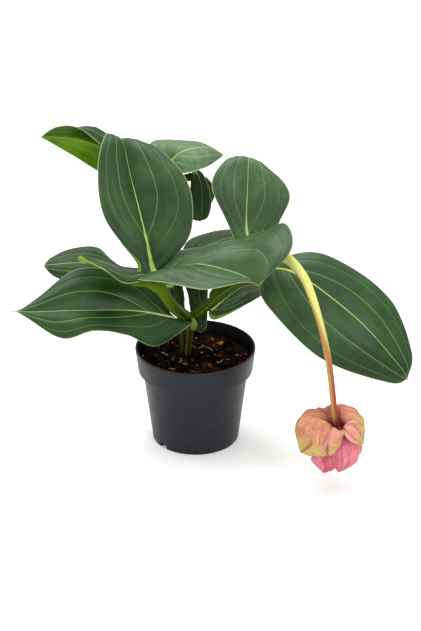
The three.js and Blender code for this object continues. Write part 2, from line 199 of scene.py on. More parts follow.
def applied(thing):
    """The object with its modifiers worked into its mesh."""
    shape = thing.evaluated_get(bpy.context.evaluated_depsgraph_get())
    mesh = bpy.data.meshes.new_from_object(shape)
    made = bpy.data.objects.new(thing.name, mesh)
    name = thing.name
    bpy.data.objects.remove(thing)
    made.name = name
    bpy.context.collection.objects.link(made)
    return made


def settle(thing, slot, *nodes):
    """A finished piece: it rides on the part, and stands for the CAD nodes named."""
    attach(thing, "root")
    if nodes:
        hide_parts(*nodes)


def rounded(outline):
    """The outline with each corner turned into a short curve."""
    points = []
    for n, (radius, height, corner) in enumerate(outline):
        here = np.array([radius, height])
        if not corner:
            points.append(here)
            continue
        before, after = (np.array(outline[n + step][:2]) - here for step in (-1, 1))
        start = here + before / np.linalg.norm(before) * corner
        end = here + after / np.linalg.norm(after) * corner
        for t in np.linspace(0, 1, CORNER_STEPS):
            points.append((1 - t) ** 2 * start + 2 * t * (1 - t) * here + t * t * end)
    return points


def turned(outline, sides):
    """Corners and faces of an outline turned about Z, with its two ends on the axis."""
    angles = np.arange(sides) * 2 * math.pi / sides
    inner = outline[1:-1]
    corners = [(0, 0, outline[0][1]), (0, 0, outline[-1][1])]
    for radius, height in inner:
        corners += [(radius * math.cos(a), radius * math.sin(a), height) for a in angles]
    faces = []
    last = len(inner) - 1
    for k in range(sides):
        nxt = (k + 1) % sides
        faces.append((0, 2 + nxt, 2 + k))
        faces.append((1, 2 + last * sides + k, 2 + last * sides + nxt))
        for row in range(last):
            low, high = 2 + row * sides, 2 + (row + 1) * sides
            faces.append((low + k, low + nxt, high + nxt, high + k))
    return corners, faces


pot_finish, wire, place = new_finish("charcoal moulded plastic")
rubbed = place.grain(55, 4, 0.6).fade(0.45, 0.75)
dust = place.stretched((1, 1, 0.35)).grain(160, 5, 0.7).fade(0.52, 0.8)
skin = place.grain(2600, 1)
across, deep, height = (place.axis(name) for name in "XYZ")
lip = height.fade(*LIP)
# Painted shade: a dark line in the corner under the band, where the ledge lies in shadow.
corner = height.fade(*CORNER_SHADE_FOOT) * height.fade(*CORNER_SHADE_TOP)
radius = place.math("SQRT", across * across + deep * deep)
# Painted shade inside the wall, darker further down towards the medium; it also stands for peat stain.
stain_and_shade = (radius - height * INSIDE_SLOPE).fade(*INSIDE_RADIUS) * height.fade(*STAIN_AND_SHADE_TOP)
stain_and_shade = stain_and_shade * height.fade(*STAIN_AND_SHADE_FOOT)
grey = (rubbed * 0.4 + lip * 0.6).blend((0.0085, 0.0095, 0.0135), (0.018, 0.020, 0.026))
grey = (dust * 0.04).blend(grey, (0.30, 0.27, 0.24))
grey = (corner * 0.8).blend(grey, (0.004, 0.004, 0.005))
grey = (stain_and_shade * 0.85).blend(grey, (0.0016, 0.0014, 0.0016))
close_finish(
    wire, grey, 0.40 + 0.10 * rubbed + 0.10 * dust, skin + rubbed * 0.4, 0.00004,
    Specular_IOR_Level=0.2,
)

pot_corners, pot_faces = turned(rounded(POT_OUTLINE), POT_SIDES)
pot = plain_mesh("pot_shell", pot_corners, pot_faces, pot_finish)
notch_block = np.array([
    (x * NOTCH["depth"], y * NOTCH["width"] / 2, z * NOTCH["height"])
    for z in (-1, 1) for x, y in ((-1, -1), (1, -1), (1, 1), (-1, 1))
])
notch_block[:, 0] += POT_OUTLINE[1][0]
cosine, sine = math.cos(math.radians(NOTCH["turn"])), math.sin(math.radians(NOTCH["turn"]))
notch_block = notch_block @ np.array([[cosine, sine, 0], [-sine, cosine, 0], [0, 0, 1]])
cutters = [plain_mesh("cutter", notch_block, [
    (3, 2, 1, 0), (4, 5, 6, 7), (0, 1, 5, 4), (1, 2, 6, 5), (2, 3, 7, 6), (3, 0, 4, 7),
], pot_finish)]
for n in range(DRAIN["count"]):
    angle = 2 * math.pi * (n + 0.5) / DRAIN["count"]
    hole, sides = turned([
        (0, DRAIN["from"]), (DRAIN["radius"], DRAIN["from"]), (DRAIN["radius"], DRAIN["to"]),
        (0, DRAIN["to"]),
    ], DRAIN["sides"])
    at = np.array([DRAIN["ring"] * math.cos(angle), DRAIN["ring"] * math.sin(angle), 0])
    cutters.append(plain_mesh("cutter", np.array(hole) + at, sides, pot_finish))
for tool in cutters:
    cut = pot.modifiers.new("drain", "BOOLEAN")
    cut.operation = "DIFFERENCE"
    cut.solver = "EXACT"
    cut.object = tool
pot = applied(pot)
for tool in cutters:
    bpy.data.objects.remove(tool)
pot.data.set_sharp_from_angle(angle=math.radians(SHARP_EDGE))
settle(pot, "pot", "pot")

# ---- The growing medium --------------------------------------------------------------------
# Damp peat and bark, filled to a little under the rim. Its top is rough and dark, with flakes
# of reddish bark, crumbs, white perlite grains and a few pale surface roots lying on it.

SOIL_TOP = 87.0
SOIL_RADIUS = 55.9
SOIL_RINGS = 60
SOIL_SIDES = 168
# Its side inside the pot, from the top down: radius and height in mm.
SOIL_SIDE = [(55.0, 78.2), (50.2, 74.3), (41.0, 2.5)]
WELD_REACH = 0.00001                    # metres
PATCH_RINGS, PATCH_SIDES = 14, 60       # the surface that the lumps are strewn on


def lumps(x, y):
    """How far the medium stands above or below its level, in mm."""
    at = Vector((x, y, 4.0))
    heap = 0.66 * math.sin(x / 9 + 1) * math.cos(y / 9 - 2)
    coarse = 2.1 * noise.noise(at / 11.0) + 1.1 * noise.noise(at / 4.2)
    return heap + coarse + 0.5 * noise.noise(at / 1.7)


def circle(radius, sides):
    """Places in mm round the pot's axis."""
    turns = [2 * math.pi * k / sides for k in range(sides)]
    return [(radius * math.cos(turn), radius * math.sin(turn)) for turn in turns]


def medium_top(inner, outer, rings, sides):
    """Corners of rings that follow the medium's lumpy top between two radii."""
    radii = [inner + (outer - inner) * n / rings for n in range(rings + 1)]
    return [(x, y, SOIL_TOP + lumps(x, y)) for radius in radii for x, y in circle(radius, sides)]


def between_rings(rings, sides):
    """Faces that join rings of corners, each to the next."""
    faces = []
    for row in range(rings):
        near, far = row * sides, (row + 1) * sides
        for k in range(sides):
            beyond = (k + 1) % sides
            faces.append((near + k, far + k, far + beyond, near + beyond))
    return faces


def warm_side(place):
    """Where the medium is lighter and redder: in patches, on the side towards +X."""
    return place.axis("X").fade(-0.012, 0.030) * place.grain(45, 2).fade(0.42, 0.6)


soil_finish, wire, place = new_finish("damp peat and bark")
crumb = place.grain(420, 6, 0.75)
damp = place.grain(60, 3)
rust = place.grain(150, 4, 0.7).fade(0.55, 0.7)
brown = crumb.fade(0.35, 0.8).blend((0.0006, 0.0003, 0.0002), (0.007, 0.003, 0.0014))
brown = (rust * 0.3).blend(brown, (0.024, 0.007, 0.003))
brown = (warm_side(place) * 0.6).blend(brown, (0.036, 0.013, 0.006))
close_finish(wire, brown, 0.95 - 0.25 * damp.fade(0.5, 0.7), crumb, 0.0012, Specular_IOR_Level=0.01)

corners = medium_top(0.0, SOIL_RADIUS, SOIL_RINGS, SOIL_SIDES)
for radius, height in SOIL_SIDE:
    corners += [(x, y, height) for x, y in circle(radius, SOIL_SIDES)]
faces = between_rings(SOIL_RINGS + len(SOIL_SIDE), SOIL_SIDES)
faces.append(list(reversed(range(len(corners) - SOIL_SIDES, len(corners)))))
soil = plain_mesh("growing_medium", corners, faces, soil_finish)
weld = soil.modifiers.new("middle", "WELD")
weld.merge_threshold = WELD_REACH
soil = applied(soil)
settle(soil, "soil", "soil")


def new_group(name, inputs):
    """A new Geometry Nodes tree with named inputs, and the Wire that builds it."""
    tree = bpy.data.node_groups.new(name, "GeometryNodeTree")
    tree.interface.new_socket("Geometry", in_out="INPUT", socket_type="NodeSocketGeometry")
    for label, kind in inputs.items():
        tree.interface.new_socket(label, in_out="INPUT", socket_type="NodeSocket" + kind)
    tree.interface.new_socket("Geometry", in_out="OUTPUT", socket_type="NodeSocketGeometry")
    return tree, Wire(tree).node("NodeGroupInput", out="Geometry")


def labelled(shape, mark, value, kind="FLOAT", domain="POINT"):
    """The shape, with a value stored on it under that name."""
    return shape.node("GeometryNodeStoreNamedAttribute", {"data_type": kind, "domain": domain}, {
        "Geometry": shape, "Name": mark, "Value": value,
    })


def close_group(given, shape, smooth):
    """Ends a tree: its shape is shaded, made real and given the tree's Material."""
    shape = given.node("GeometryNodeSetShadeSmooth", None, {"Geometry": shape, "Shade Smooth": smooth})
    shape = given.node("GeometryNodeRealizeInstances", None, {"Geometry": shape})
    shape = given.node("GeometryNodeSetMaterial", None, {
        "Geometry": shape, "Material": given.out("Material"),
    })
    given.node("NodeGroupOutput", None, {"Geometry": shape})


def grown(thing, tree, **values):
    """The object with a Geometry Nodes tree run on it, its inputs set by their labels."""
    run = thing.modifiers.new("grow", "NODES")
    run.node_group = tree
    inputs = [item for item in tree.interface.items_tree if item.in_out == "INPUT"]
    ids = {item.name: item.identifier for item in inputs}
    for label, value in values.items():
        run[ids[label.replace("_", " ")]] = value
    return applied(thing)


def random_value(given, low, high, draw):
    """A number between two for each lump; draw tells one draw of a seed from the next."""
    return given.node("FunctionNodeRandomValue", {"data_type": "FLOAT"}, {
        2: low, 3: high, "Seed": given.out("Seed") + draw,
    })


# Scatters lumps over a surface: each is a squashed, turned and roughened ball of its own size.
strew, given = new_group("strew", {
    "Density": "Float", "Least Size": "Float", "Most Size": "Float", "Flatness": "Float",
    "Length": "Float", "Raggedness": "Float", "Seed": "Int", "Facets": "Int", "Material": "Material",
})
dots = given.node("GeometryNodeDistributePointsOnFaces", {"distribute_method": "RANDOM"}, {
    "Mesh": given, "Density": given.out("Density"), "Seed": given.out("Seed"),
}, "Points")
size = random_value(given, given.out("Least Size"), given.out("Most Size"), 11)
width = size * random_value(given, 0.55, 1.0, 12)
scale = given.node("ShaderNodeCombineXYZ", None, {
    "X": size * given.out("Length"), "Y": width, "Z": size * given.out("Flatness"),
})
turn = given.node("FunctionNodeRandomValue", {"data_type": "FLOAT_VECTOR"}, {
    "Min": (-0.5, -0.5, 0.0), "Max": (0.5, 0.5, 6.28), "Seed": given.out("Seed") + 13,
})
ball = given.node("GeometryNodeMeshIcoSphere", None, {
    "Radius": 0.5, "Subdivisions": given.out("Facets"),
}, "Mesh")
strewn = given.node("GeometryNodeInstanceOnPoints", None, {
    "Points": dots, "Instance": ball, "Rotation": turn, "Scale": scale,
})
strewn = labelled(strewn, "tone", random_value(given, 0.0, 1.0, 14), domain="INSTANCE")
strewn = given.node("GeometryNodeRealizeInstances", None, {"Geometry": strewn})
spot = given.node("GeometryNodeInputPosition")
rough = given.node("ShaderNodeTexNoise", None, {"Vector": spot, "Scale": 420.0, "Detail": 2.0}, "Color")
push = given.node("ShaderNodeVectorMath", {"operation": "SUBTRACT"}, {0: rough, 1: (0.5, 0.5, 0.5)})
strewn = given.node("GeometryNodeSetPosition", None, {
    "Geometry": strewn, "Offset": push.scaled(given.out("Raggedness")),
})
close_group(given, strewn, False)

bark_finish, wire, place = new_finish("bark flakes")
tone = wire.mark("tone")
fibre = place.stretched((1, 4, 1)).grain(700, 3, 0.6)
bark = wire.node("ShaderNodeValToRGB", {"stops": [
    (0.0, (0.0008, 0.0004, 0.0003)), (0.62, (0.0030, 0.0011, 0.0006)),
    (0.86, (0.013, 0.004, 0.0016)), (0.96, (0.09, 0.026, 0.008)), (1.0, (0.34, 0.13, 0.04)),
]}, {"Fac": tone}, "Color")
bark = (fibre * 0.5).blend(bark, (0.006, 0.003, 0.002))
bark = (warm_side(place) * 0.6).blend(bark, (0.042, 0.016, 0.008))
close_finish(wire, bark, 0.62 + 0.3 * fibre, fibre, 0.0003, Specular_IOR_Level=0.03)

nugget_finish, wire, place = new_finish("reddish bark")
tone = wire.mark("tone")
fibre = place.stretched((1, 5, 1)).grain(900, 4, 0.65)
nugget = tone.fade(0.45, 0.85).blend((0.030, 0.009, 0.004), (0.56, 0.22, 0.062))
nugget = fibre.fade(0.45, 0.7).blend(nugget, (0.10, 0.028, 0.010))
close_finish(wire, nugget, 0.7 + 0.2 * fibre, fibre, 0.0005, Specular_IOR_Level=0.15)

perlite_finish, wire, place = new_finish("perlite grains")
tone = wire.mark("tone")
pits = place.grain(1900, 3, 0.7)
white = tone.blend((0.42, 0.33, 0.20), (0.74, 0.70, 0.62))
close_finish(wire, (pits * 0.6).blend(white, (0.30, 0.24, 0.17)), 0.8 + 0.1 * pits, pits, 0.0003)

# Each kind of lump: its finish, the radii in mm between which it lies, and the tree's inputs.
for name, finish, inner, outer, values in [
    ("bark_flakes", bark_finish, 14, 51, dict(
        Density=62000.0, Least_Size=0.0022, Most_Size=0.0085, Flatness=0.24, Length=1.35,
        Raggedness=0.0021, Seed=5, Facets=2)),
    ("bark_crumbs", bark_finish, 3, 54, dict(
        Density=260000.0, Least_Size=0.0008, Most_Size=0.0026, Flatness=0.6, Length=1.3,
        Raggedness=0.0011, Seed=9, Facets=1)),
    ("bark_nuggets", nugget_finish, 34, 52, dict(
        Density=2400.0, Least_Size=0.0026, Most_Size=0.0078, Flatness=0.42, Length=1.25,
        Raggedness=0.0024, Seed=8, Facets=2)),
    ("perlite_grains", perlite_finish, 10, 53, dict(
        Density=5200.0, Least_Size=0.0008, Most_Size=0.0024, Flatness=0.85, Length=1.1,
        Raggedness=0.0006, Seed=21, Facets=2)),
]:
    corners = medium_top(inner, outer, PATCH_RINGS, PATCH_SIDES)
    patch = plain_mesh(name, corners, between_rings(PATCH_RINGS, PATCH_SIDES), None)
    settle(grown(patch, strew, Material=finish, **values), "soil")

# ---- The stems -----------------------------------------------------------------------------
# Two fleshy shoots rise from the medium, four-angled and swollen at each joint. They are green
# and ribbed above, and brown and corky towards the ground, where the front one forks.

JOINTS = {
    "base": ((-5, 3, 119), 6.2), "fork": ((-5, 2, 129), 6.5), "front": ((-38, -24, 185), 7.0),
    "side": ((11, 0, 144), 5.2), "right": ((60, -5, 185), 6.5), "low": ((-18, 38, 150), 6.0),
    "middle": ((-20, 43, 174), 5.5), "high": ((-32, 52, 260), 5.5), "top": ((-5, 57, 258), 4.2),
}
# Each shoot: the points it runs through and its radius at each end, in mm. The last front one
# is the broad foot of the leaves on the left shoot.
FRONT_SHOOTS = [
    ([(-9, 7, 58), (-8.5, 7, 90), (-7, 5, 108), (-5, 2, 129)], (2.6, 5.4)),
    ([(-5, 2, 129), (-22, -19, 154), (-38, -24, 185)], (5.5, 6.0)),
    ([(-5, 2, 129), (11, 0, 144), (30, -2, 164), (60, -5, 185)], (4.5, 5.0)),
    ([(-36, -25, 178), (-46, -34, 186), (-60, -46, 190)], (6.5, 2.0)),
]
BACK_SHOOTS = [
    ([(-11, 14, 58), (-12, 16, 85), (-14, 27, 118), (-18, 38, 150), (-23, 48, 194), (-32, 52, 260)],
     (4.8, 4.2)),
    ([(-32, 52, 260), (-19, 53, 257), (-5, 57, 258)], (4.0, 3.8)),
]
SWEEP_STEP = 1.5                        # mm between the rings of a shoot
FINE_STEPS = 600                        # how finely a curve is measured
JOINT_RINGS = 9
SHOOT_SIDES, SHOOT_RIDGE = 24, 0.07
SKIN_VOXEL = 0.0006                     # metres
SKIN_ROUNDS, SKIN_SOFTNESS = 4, 0.6     # how often and how strongly the fused skin is softened
STREAK_RUN = 0.012                      # how slowly the streaks change along a shoot, per mm
STREAK_APART = 3.0                      # and from one shoot to the next
BATCH = 4000                            # corners that are measured at a time


def through(points, shares):
    """Where a smooth curve through points is, at shares that count each gap between two alike."""
    p = np.asarray(points, float)
    n = len(p) - 1
    p = np.vstack([2 * p[0] - p[1], p, 2 * p[-1] - p[-2]])
    t = np.clip(np.atleast_1d(shares), 0, 1) * n
    i = np.minimum(t.astype(int), n - 1)
    u = (t - i)[:, None]
    a, b, c, d = p[i], p[i + 1], p[i + 2], p[i + 3]
    return b + 0.5 * u * (c - a + u * (2 * a - 5 * b + 4 * c - d + u * (3 * (b - c) + d - a)))


def even_path(points, step=SWEEP_STEP):
    """The same curve at about equal steps, in mm, with each place's share of the length."""
    fine = through(points, np.linspace(0, 1, FINE_STEPS))
    run = np.concatenate([[0], np.cumsum(np.linalg.norm(np.diff(fine, axis=0), axis=1))])
    count = max(4, int(run[-1] / step))
    shares = np.linspace(0, 1, count + 1)
    return np.stack([np.interp(shares * run[-1], run, fine[:, k]) for k in range(3)], 1), shares


def paths_object(name, runs):
    """A curve object of open runs, each of [places in mm, radius at each place in mm]."""
    data = bpy.data.curves.new(name, "CURVE")
    data.dimensions = "3D"
    for places, radii in runs:
        spline = data.splines.new("POLY")
        spline.points.add(len(places) - 1)
        for point, at, radius in zip(spline.points, places, radii):
            point.co = (*(np.asarray(at) * MM), 1.0)
            point.radius = radius * MM
    thing = bpy.data.objects.new(name, data)
    bpy.context.collection.objects.link(thing)
    return thing


# Sweeps a ribbed round section along each run: Ridge is how far its four angles stand out.
fleshy, given = new_group("fleshy shoot", {"Sides": "Int", "Ridge": "Float", "Material": "Material"})
runs = labelled(given, "along", given.node("GeometryNodeSplineParameter", out="Length"))
ring = given.node("GeometryNodeCurvePrimitiveCircle", None, {
    "Resolution": given.out("Sides"), "Radius": 1.0,
}, "Curve")
spot = given.node("GeometryNodeInputPosition")
turn = given.math("ARCTAN2", spot.axis("Y"), spot.axis("X"))
ring = labelled(ring, "around", spot, kind="FLOAT_VECTOR")
bulge = 1.0 + given.out("Ridge") * given.math("COSINE", turn * 4.0)
ring = given.node("GeometryNodeSetPosition", None, {"Geometry": ring, "Position": spot.scaled(bulge)})
swept = given.node("GeometryNodeCurveToMesh", None, {
    "Curve": runs, "Profile Curve": ring, "Scale": given.node("GeometryNodeInputRadius"),
    "Fill Caps": True,
})
close_group(given, swept, True)

stem_finish, wire, place = new_finish("fleshy stem")
around = wire.mark("around", "Vector")
across, deep, height = (place.axis(name) for name in "XYZ")
young = height.fade(0.088, 0.16)
streak = around.grain(2.2, 4, 0.65)
fine = around.grain(7.0, 5, 0.7)
rib = wire.mark("rib")
cork = place.grain(240, 4, 0.65).fade(0.42, 0.68)
green = streak.fade(0.35, 0.65).blend((0.012, 0.028, 0.0003), (0.042, 0.080, 0.0008))
green = (rib.fade(0.6, 0.98) * 0.5).blend(green, (0.08, 0.13, 0.003))
lush = height.fade(0.13, 0.18) * across.fade(-0.005, -0.03)
green = (lush * 0.7).blend(green, (0.085, 0.165, 0.0012))
# Painted shade: the shoots towards the back (+Y) are darkened, as they lie in the leaves' shade.
green = (deep.fade(0.022, 0.036) * 0.75).blend(green, (0.006, 0.012, 0.001))
brown = streak.fade(0.42, 0.58).blend((0.020, 0.006, 0.002), (0.060, 0.055, 0.003))
brown = (rib.fade(0.7, 1.0) * 0.7).blend(brown, (0.12, 0.11, 0.016))
brown = (cork * 0.5).blend(brown, (0.012, 0.005, 0.002))
stem_colour = (young * 0.95).blend(brown, green)
stem_colour = (fine.fade(0.6, 0.8) * 0.4).blend(stem_colour, (0.045, 0.018, 0.004))
close_finish(
    wire, stem_colour, 0.46 + 0.22 * cork, fine + cork * (1 - young), 0.0004, Specular_IOR_Level=0.06,
)


def corners_of(thing):
    """An object's corners in mm."""
    corners = np.zeros(len(thing.data.vertices) * 3)
    thing.data.vertices.foreach_get("co", corners)
    return corners.reshape(-1, 3) / MM


def streaks(thing, runs):
    """Stores on each corner its turn about the nearest shoot, and how far it is on an angle."""
    corners = corners_of(thing)
    best = np.full(len(corners), np.inf)
    around = np.zeros((len(corners), 3))
    angles = np.zeros(len(corners))
    for number, run in enumerate(runs):
        tangents = np.gradient(run, axis=0)
        tangents /= np.linalg.norm(tangents, axis=1)[:, None]
        side = np.cross(tangents[0], (0.3, 1.0, 0.2))
        sides = []
        for tangent in tangents:
            side = side - tangent * (side @ tangent)
            side /= np.linalg.norm(side)
            sides.append(side)
        sides = np.array(sides)
        ups = np.cross(tangents, sides)
        for start in range(0, len(corners), BATCH):
            part = slice(start, start + BATCH)
            away = corners[part, None] - run[None]
            gaps = np.linalg.norm(away, axis=2)
            near = gaps.argmin(1)
            least = gaps[np.arange(len(near)), near]
            step = away[np.arange(len(near)), near]
            x = (step * sides[near]).sum(1)
            y = (step * ups[near]).sum(1)
            size = np.hypot(x, y) + 1e-6
            closer = least < best[part]
            down = near * STREAK_RUN * SWEEP_STEP + number * STREAK_APART
            spun = np.stack([x / size, y / size, down], 1)
            around[part][closer] = spun[closer]
            angles[part][closer] = np.arctan2(y, x)[closer]
            best[part] = np.minimum(best[part], least)
    store(thing, "around", around)
    store(thing, "rib", 0.5 + 0.5 * np.cos(4 * angles))


def stem(name, shoots, joints, node):
    """Shoots and their swollen joints, fused under one skin."""
    runs = []
    for points, (first, last) in shoots:
        places, shares = even_path(points)
        runs.append((places, first + (last - first) * shares))
    for joint in joints:
        at, radius = JOINTS[joint]
        leaning = min(
            (run for run, _ in runs[:len(shoots)]),
            key=lambda run: np.linalg.norm(run - np.array(at), axis=1).min(),
        )
        near = int(np.linalg.norm(leaning - np.array(at), axis=1).argmin())
        along = leaning[min(near + 2, len(leaning) - 1)] - leaning[max(near - 2, 0)]
        along /= np.linalg.norm(along)
        turns = np.linspace(0.1, math.pi - 0.1, JOINT_RINGS)
        offsets = -np.cos(turns) * radius
        runs.append((np.array(at) + offsets[:, None] * along, np.sin(turns) * radius))
    thing = grown(
        paths_object(name, runs), fleshy, Sides=SHOOT_SIDES, Ridge=SHOOT_RIDGE, Material=stem_finish,
    )
    remesh = thing.modifiers.new("skin", "REMESH")
    remesh.mode = "VOXEL"
    remesh.voxel_size = SKIN_VOXEL
    smooth = thing.modifiers.new("soften", "SMOOTH")
    smooth.iterations = SKIN_ROUNDS
    smooth.factor = SKIN_SOFTNESS
    thing = applied(thing)
    streaks(thing, [run for run, _ in runs[:len(shoots)]])
    settle(thing, "stem", node)


stem("front_stem", FRONT_SHOOTS, ["base", "fork", "front", "side", "right"], "stem_front")
stem("back_stem", BACK_SHOOTS, ["low", "middle", "high", "top"], "stem_back")

# ---- The surface roots ---------------------------------------------------------------------
# A few fine pale roots that have come up through the medium and creep over it. They branch
# little, and are no thicker than a bristle.

ROOTS = [
    [(-3, 24), (2, 17), (7, 22), (13, 19), (18, 12), (20, 4)], [(5, 27), (11, 22), (16, 21), (21, 14)],
    [(13, 19), (19, 21), (26, 17)], [(-16, -12), (-8, -17), (2, -14), (10, -19)],
    [(-34, 8), (-27, 3), (-22, -6)], [(24, -12), (30, -6), (38, -9)],
]
ROOT_RADII = (0.55, 0.2)
ROOT_STEP = 0.8
ROOT_LIFT = 0.35

root_finish, wire, place = new_finish("pale root")
blotch = place.grain(500, 3, 0.6)
close_finish(wire, blotch.blend((0.16, 0.085, 0.035), (0.50, 0.38, 0.22)), 0.7, blotch, 0.0002)

runs = []
for root in ROOTS:
    places, shares = even_path([(x, y, 0) for x, y in root], ROOT_STEP)
    for spot in places:
        spot[2] = SOIL_TOP + lumps(spot[0], spot[1]) + ROOT_LIFT
    runs.append((places, ROOT_RADII[0] + (ROOT_RADII[1] - ROOT_RADII[0]) * shares))
roots = grown(paths_object("surface_roots", runs), fleshy, Sides=8, Ridge=0.1, Material=root_finish)
settle(roots, "soil")

# ---- The leaves ----------------------------------------------------------------------------
# Stiff glossy blades without stalks. A thick pale midrib and three pairs of sunken nerves run
# from base to tip, with the blade pleated between them, lime green beneath, and a pale margin.

# Each blade, in mm: its joint, then its midrib and its two edges, which meet at both ends.
BLADES = {
    "leaf_front_up": ("front",
        [(-42, -16, 198), (-50, -2, 232), (-62, 20, 274), (-71, 44, 302), (-79, 58, 288)],
        [(-52, -20, 199), (-86, -12, 243), (-93, 10, 286), (-86, 40, 310)],
        [(-19, -17, 206), (-2.5, -10.5, 234), (-7.5, 7, 275), (-42, 40, 298)]),
    "leaf_right_up": ("right",
        [(55, 6, 195), (50, 18, 222), (51, 32, 257), (52, 48, 282), (50, 66, 262)],
        [(46, 8, 195), (31, 14, 228), (16, 24, 264), (32, 48, 281)],
        [(65, 8, 196), (83, 16, 229), (92, 24, 254), (73, 48, 269)]),
    "leaf_front_broad": ("front",
        [(-24, -30, 196), (2, -33, 205), (37, -45, 202), (54, -60, 200), (61, -68, 199)],
        [(-24, 0, 201), (10, 5, 207), (60.9, -1, 223.4), (86.6, -16, 239.9), (91.4, -48, 227.1)],
        [(-54, -48, 196), (-27, -58, 197), (10, -72, 197), (45.9, -75, 205.5)]),
    "leaf_front_left": ("front",
        [(-50, -31, 193), (-66, -35, 193), (-87, -38, 205), (-103, -40, 213), (-110, -41, 215)],
        [(-48, -40, 191), (-67, -54, 195), (-85, -56, 210), (-102, -47, 214)],
        [(-50, -24, 193), (-71, -12, 190), (-88, -12, 197), (-102, -28, 209)]),
    "leaf_low_left": ("base",
        [(-21, -15, 139), (-59, -28, 153), (-112, -44, 161), (-155, -57, 166), (-174.5, -60, 168.5)],
        [(-4, -14, 131), (-38, -29, 115), (-66, -45, 135), (-96, -62, 148), (-126, -72, 144),
         (-157, -66, 159)],
        [(-22, -14, 141), (-52, -2, 174), (-110, -10, 190), (-152, -42, 175)]),
    "leaf_back_left": ("low",
        [(-29, 30, 152), (-59, 26, 162), (-104, 26, 178), (-141, 20, 180), (-150, 18, 179)],
        [(-31, 22, 145), (-59, 12, 156), (-102, 8, 162), (-138, 10, 169)],
        [(-29, 36, 156), (-50, 42, 165), (-79, 50, 166), (-98, 59, 181), (-122, 52, 184),
         (-142, 32, 185)]),
    "leaf_right_low": ("right",
        [(74, 3, 184), (102, -12, 183), (156, -34, 148), (197, -48, 105), (207, -50, 89)],
        [(81, 10, 191), (126, 10, 196), (187, -6, 160), (211, -36, 114)],
        [(62, 3, 167), (72, -30, 156), (122, -52, 113), (187, -56, 89)]),
    "leaf_right_inner": ("side",
        [(17, 12, 135), (27, 22, 139), (48, 37, 148), (67, 51, 142), (73, 54, 139)],
        [(14, 18, 140), (16, 34, 146), (41, 56, 155), (65, 62, 147)],
        [(17, 8, 128), (30, 8, 131), (54, 18, 139), (71, 44, 138)]),
    "leaf_hanging_right": ("low",
        [(-9, 46, 154), (0, 50, 148), (5, 44, 125), (6, 35, 104), (5, 33, 98)],
        [(-4, 52, 162), (11, 54, 149), (12, 47, 124), (11, 36, 104)],
        [(-12, 45, 147), (-8, 46, 135), (-6, 40, 123), (-2, 33, 104)]),
    "leaf_hanging_back": ("low",
        [(-23, 50, 156), (-26, 54, 149), (-23, 54, 134), (-17, 50, 122), (-15, 48, 118)],
        [(-17, 56, 157), (-14, 58, 143), (-11, 55, 127), (-12, 49, 118)],
        [(-30, 48, 157), (-35, 50, 147), (-31, 50, 134), (-23, 47, 124)]),
    "leaf_top_left": ("high",
        [(-45, 64, 258), (-77, 78, 274), (-115, 66, 294), (-143, 52, 302.5), (-150, 48, 303)],
        [(-46, 66, 264), (-80, 64, 278), (-111, 50, 311), (-133, 46, 314.5)],
        [(-45, 66, 247), (-83, 78, 248), (-122, 70, 276), (-144, 54, 297)]),
    "leaf_top_right": ("high",
        [(-24, 56, 274), (-12, 60, 284), (11, 68, 285), (24, 77, 276), (28, 80, 272)],
        [(-47, 66, 281), (-38, 80, 288), (-4, 88, 283), (18, 86, 274)],
        [(-19, 50, 266), (-8, 45, 267), (11, 50, 271), (24, 68, 273)]),
    "leaf_top_hanging": ("top",
        [(0, 62, 262), (4, 66, 253), (7, 64, 237), (6, 59, 215), (4, 57, 210)],
        [(3, 65, 262), (11, 67, 251), (16, 65, 230), (13, 60.5, 214)],
        [(-4, 66, 257), (-5, 66, 245), (-6, 60, 228), (-4, 57, 214)]),
    "leaf_young": ("high",
        [(-25, 64, 248), (-9, 74, 235), (9, 82, 222), (16, 85, 232), (10, 86, 248)],
        [(-24, 66, 251), (-7, 78, 239), (7, 84, 230), (10, 85, 237)],
        [(-25, 62, 244), (-10, 72, 230), (12, 82, 216), (20, 86, 232)]),
    "leaf_behind": ("middle",
        [(-11, 44, 176), (4, 48, 184), (27, 62, 188), (45, 76, 186), (51, 80, 182)],
        [(-14, 50, 180), (-5, 64, 188), (23, 84, 189), (45, 86, 188)],
        [(-8, 38, 170), (11, 30, 178), (36, 44, 183), (51, 70, 181)]),
}
# How far its left and right half arch up at shares of the leaf's length, over the half's width.
SWELL = {
    "leaf_top_left": (
        [(0.0, 0.3), (0.42, 0.8), (0.52, 0.68), (0.6, 0.28), (0.68, 0.05)], [(0.0, 0.1)]),
}
PLAIN_SWELL = ([(0.0, 0.08)], [(0.0, 0.08)])
BLADE_ROWS = 96
ROW_CROWDING = 1.15                     # how much closer the rows lie towards the tip
CUT_ENDS = 0.004                        # the share left off at each end
BLADE_THICK = 0.75
ROOTED = 1.5                            # how far inside its joint a blade starts
# The half width of each blade's foot on its left and right, in mm, and how thick its midrib is.
FEET = {"leaf_front_up": (15.5, 6), "leaf_front_broad": (14, 18), "leaf_front_left": (11, 9)}
PLAIN_FOOT = 3.2
FOOT_RUN = 0.36                         # how far along the blade its foot reaches
# The share of its run over which a blade is drawn out to a narrow tip, and by how much.
DRAWN_TIPS = {"leaf_low_left": (0.16, 0.85), "leaf_back_left": (0.17, 0.6)}
# How heavy each midrib is at its foot, next to a full-sized leaf's.
RIB_WEIGHTS = {
    "leaf_front_up": 1.3, "leaf_right_up": 1.5, "leaf_low_left": 0.3, "leaf_front_left": 0.05,
    "leaf_front_broad": 0.2,
}
PLAIN_WEIGHT = 0.7
RIB_TIP, RIB_FOOT, RIB_RUN = 0.36, 2.7, 0.34    # a midrib's half widths in mm, and its taper
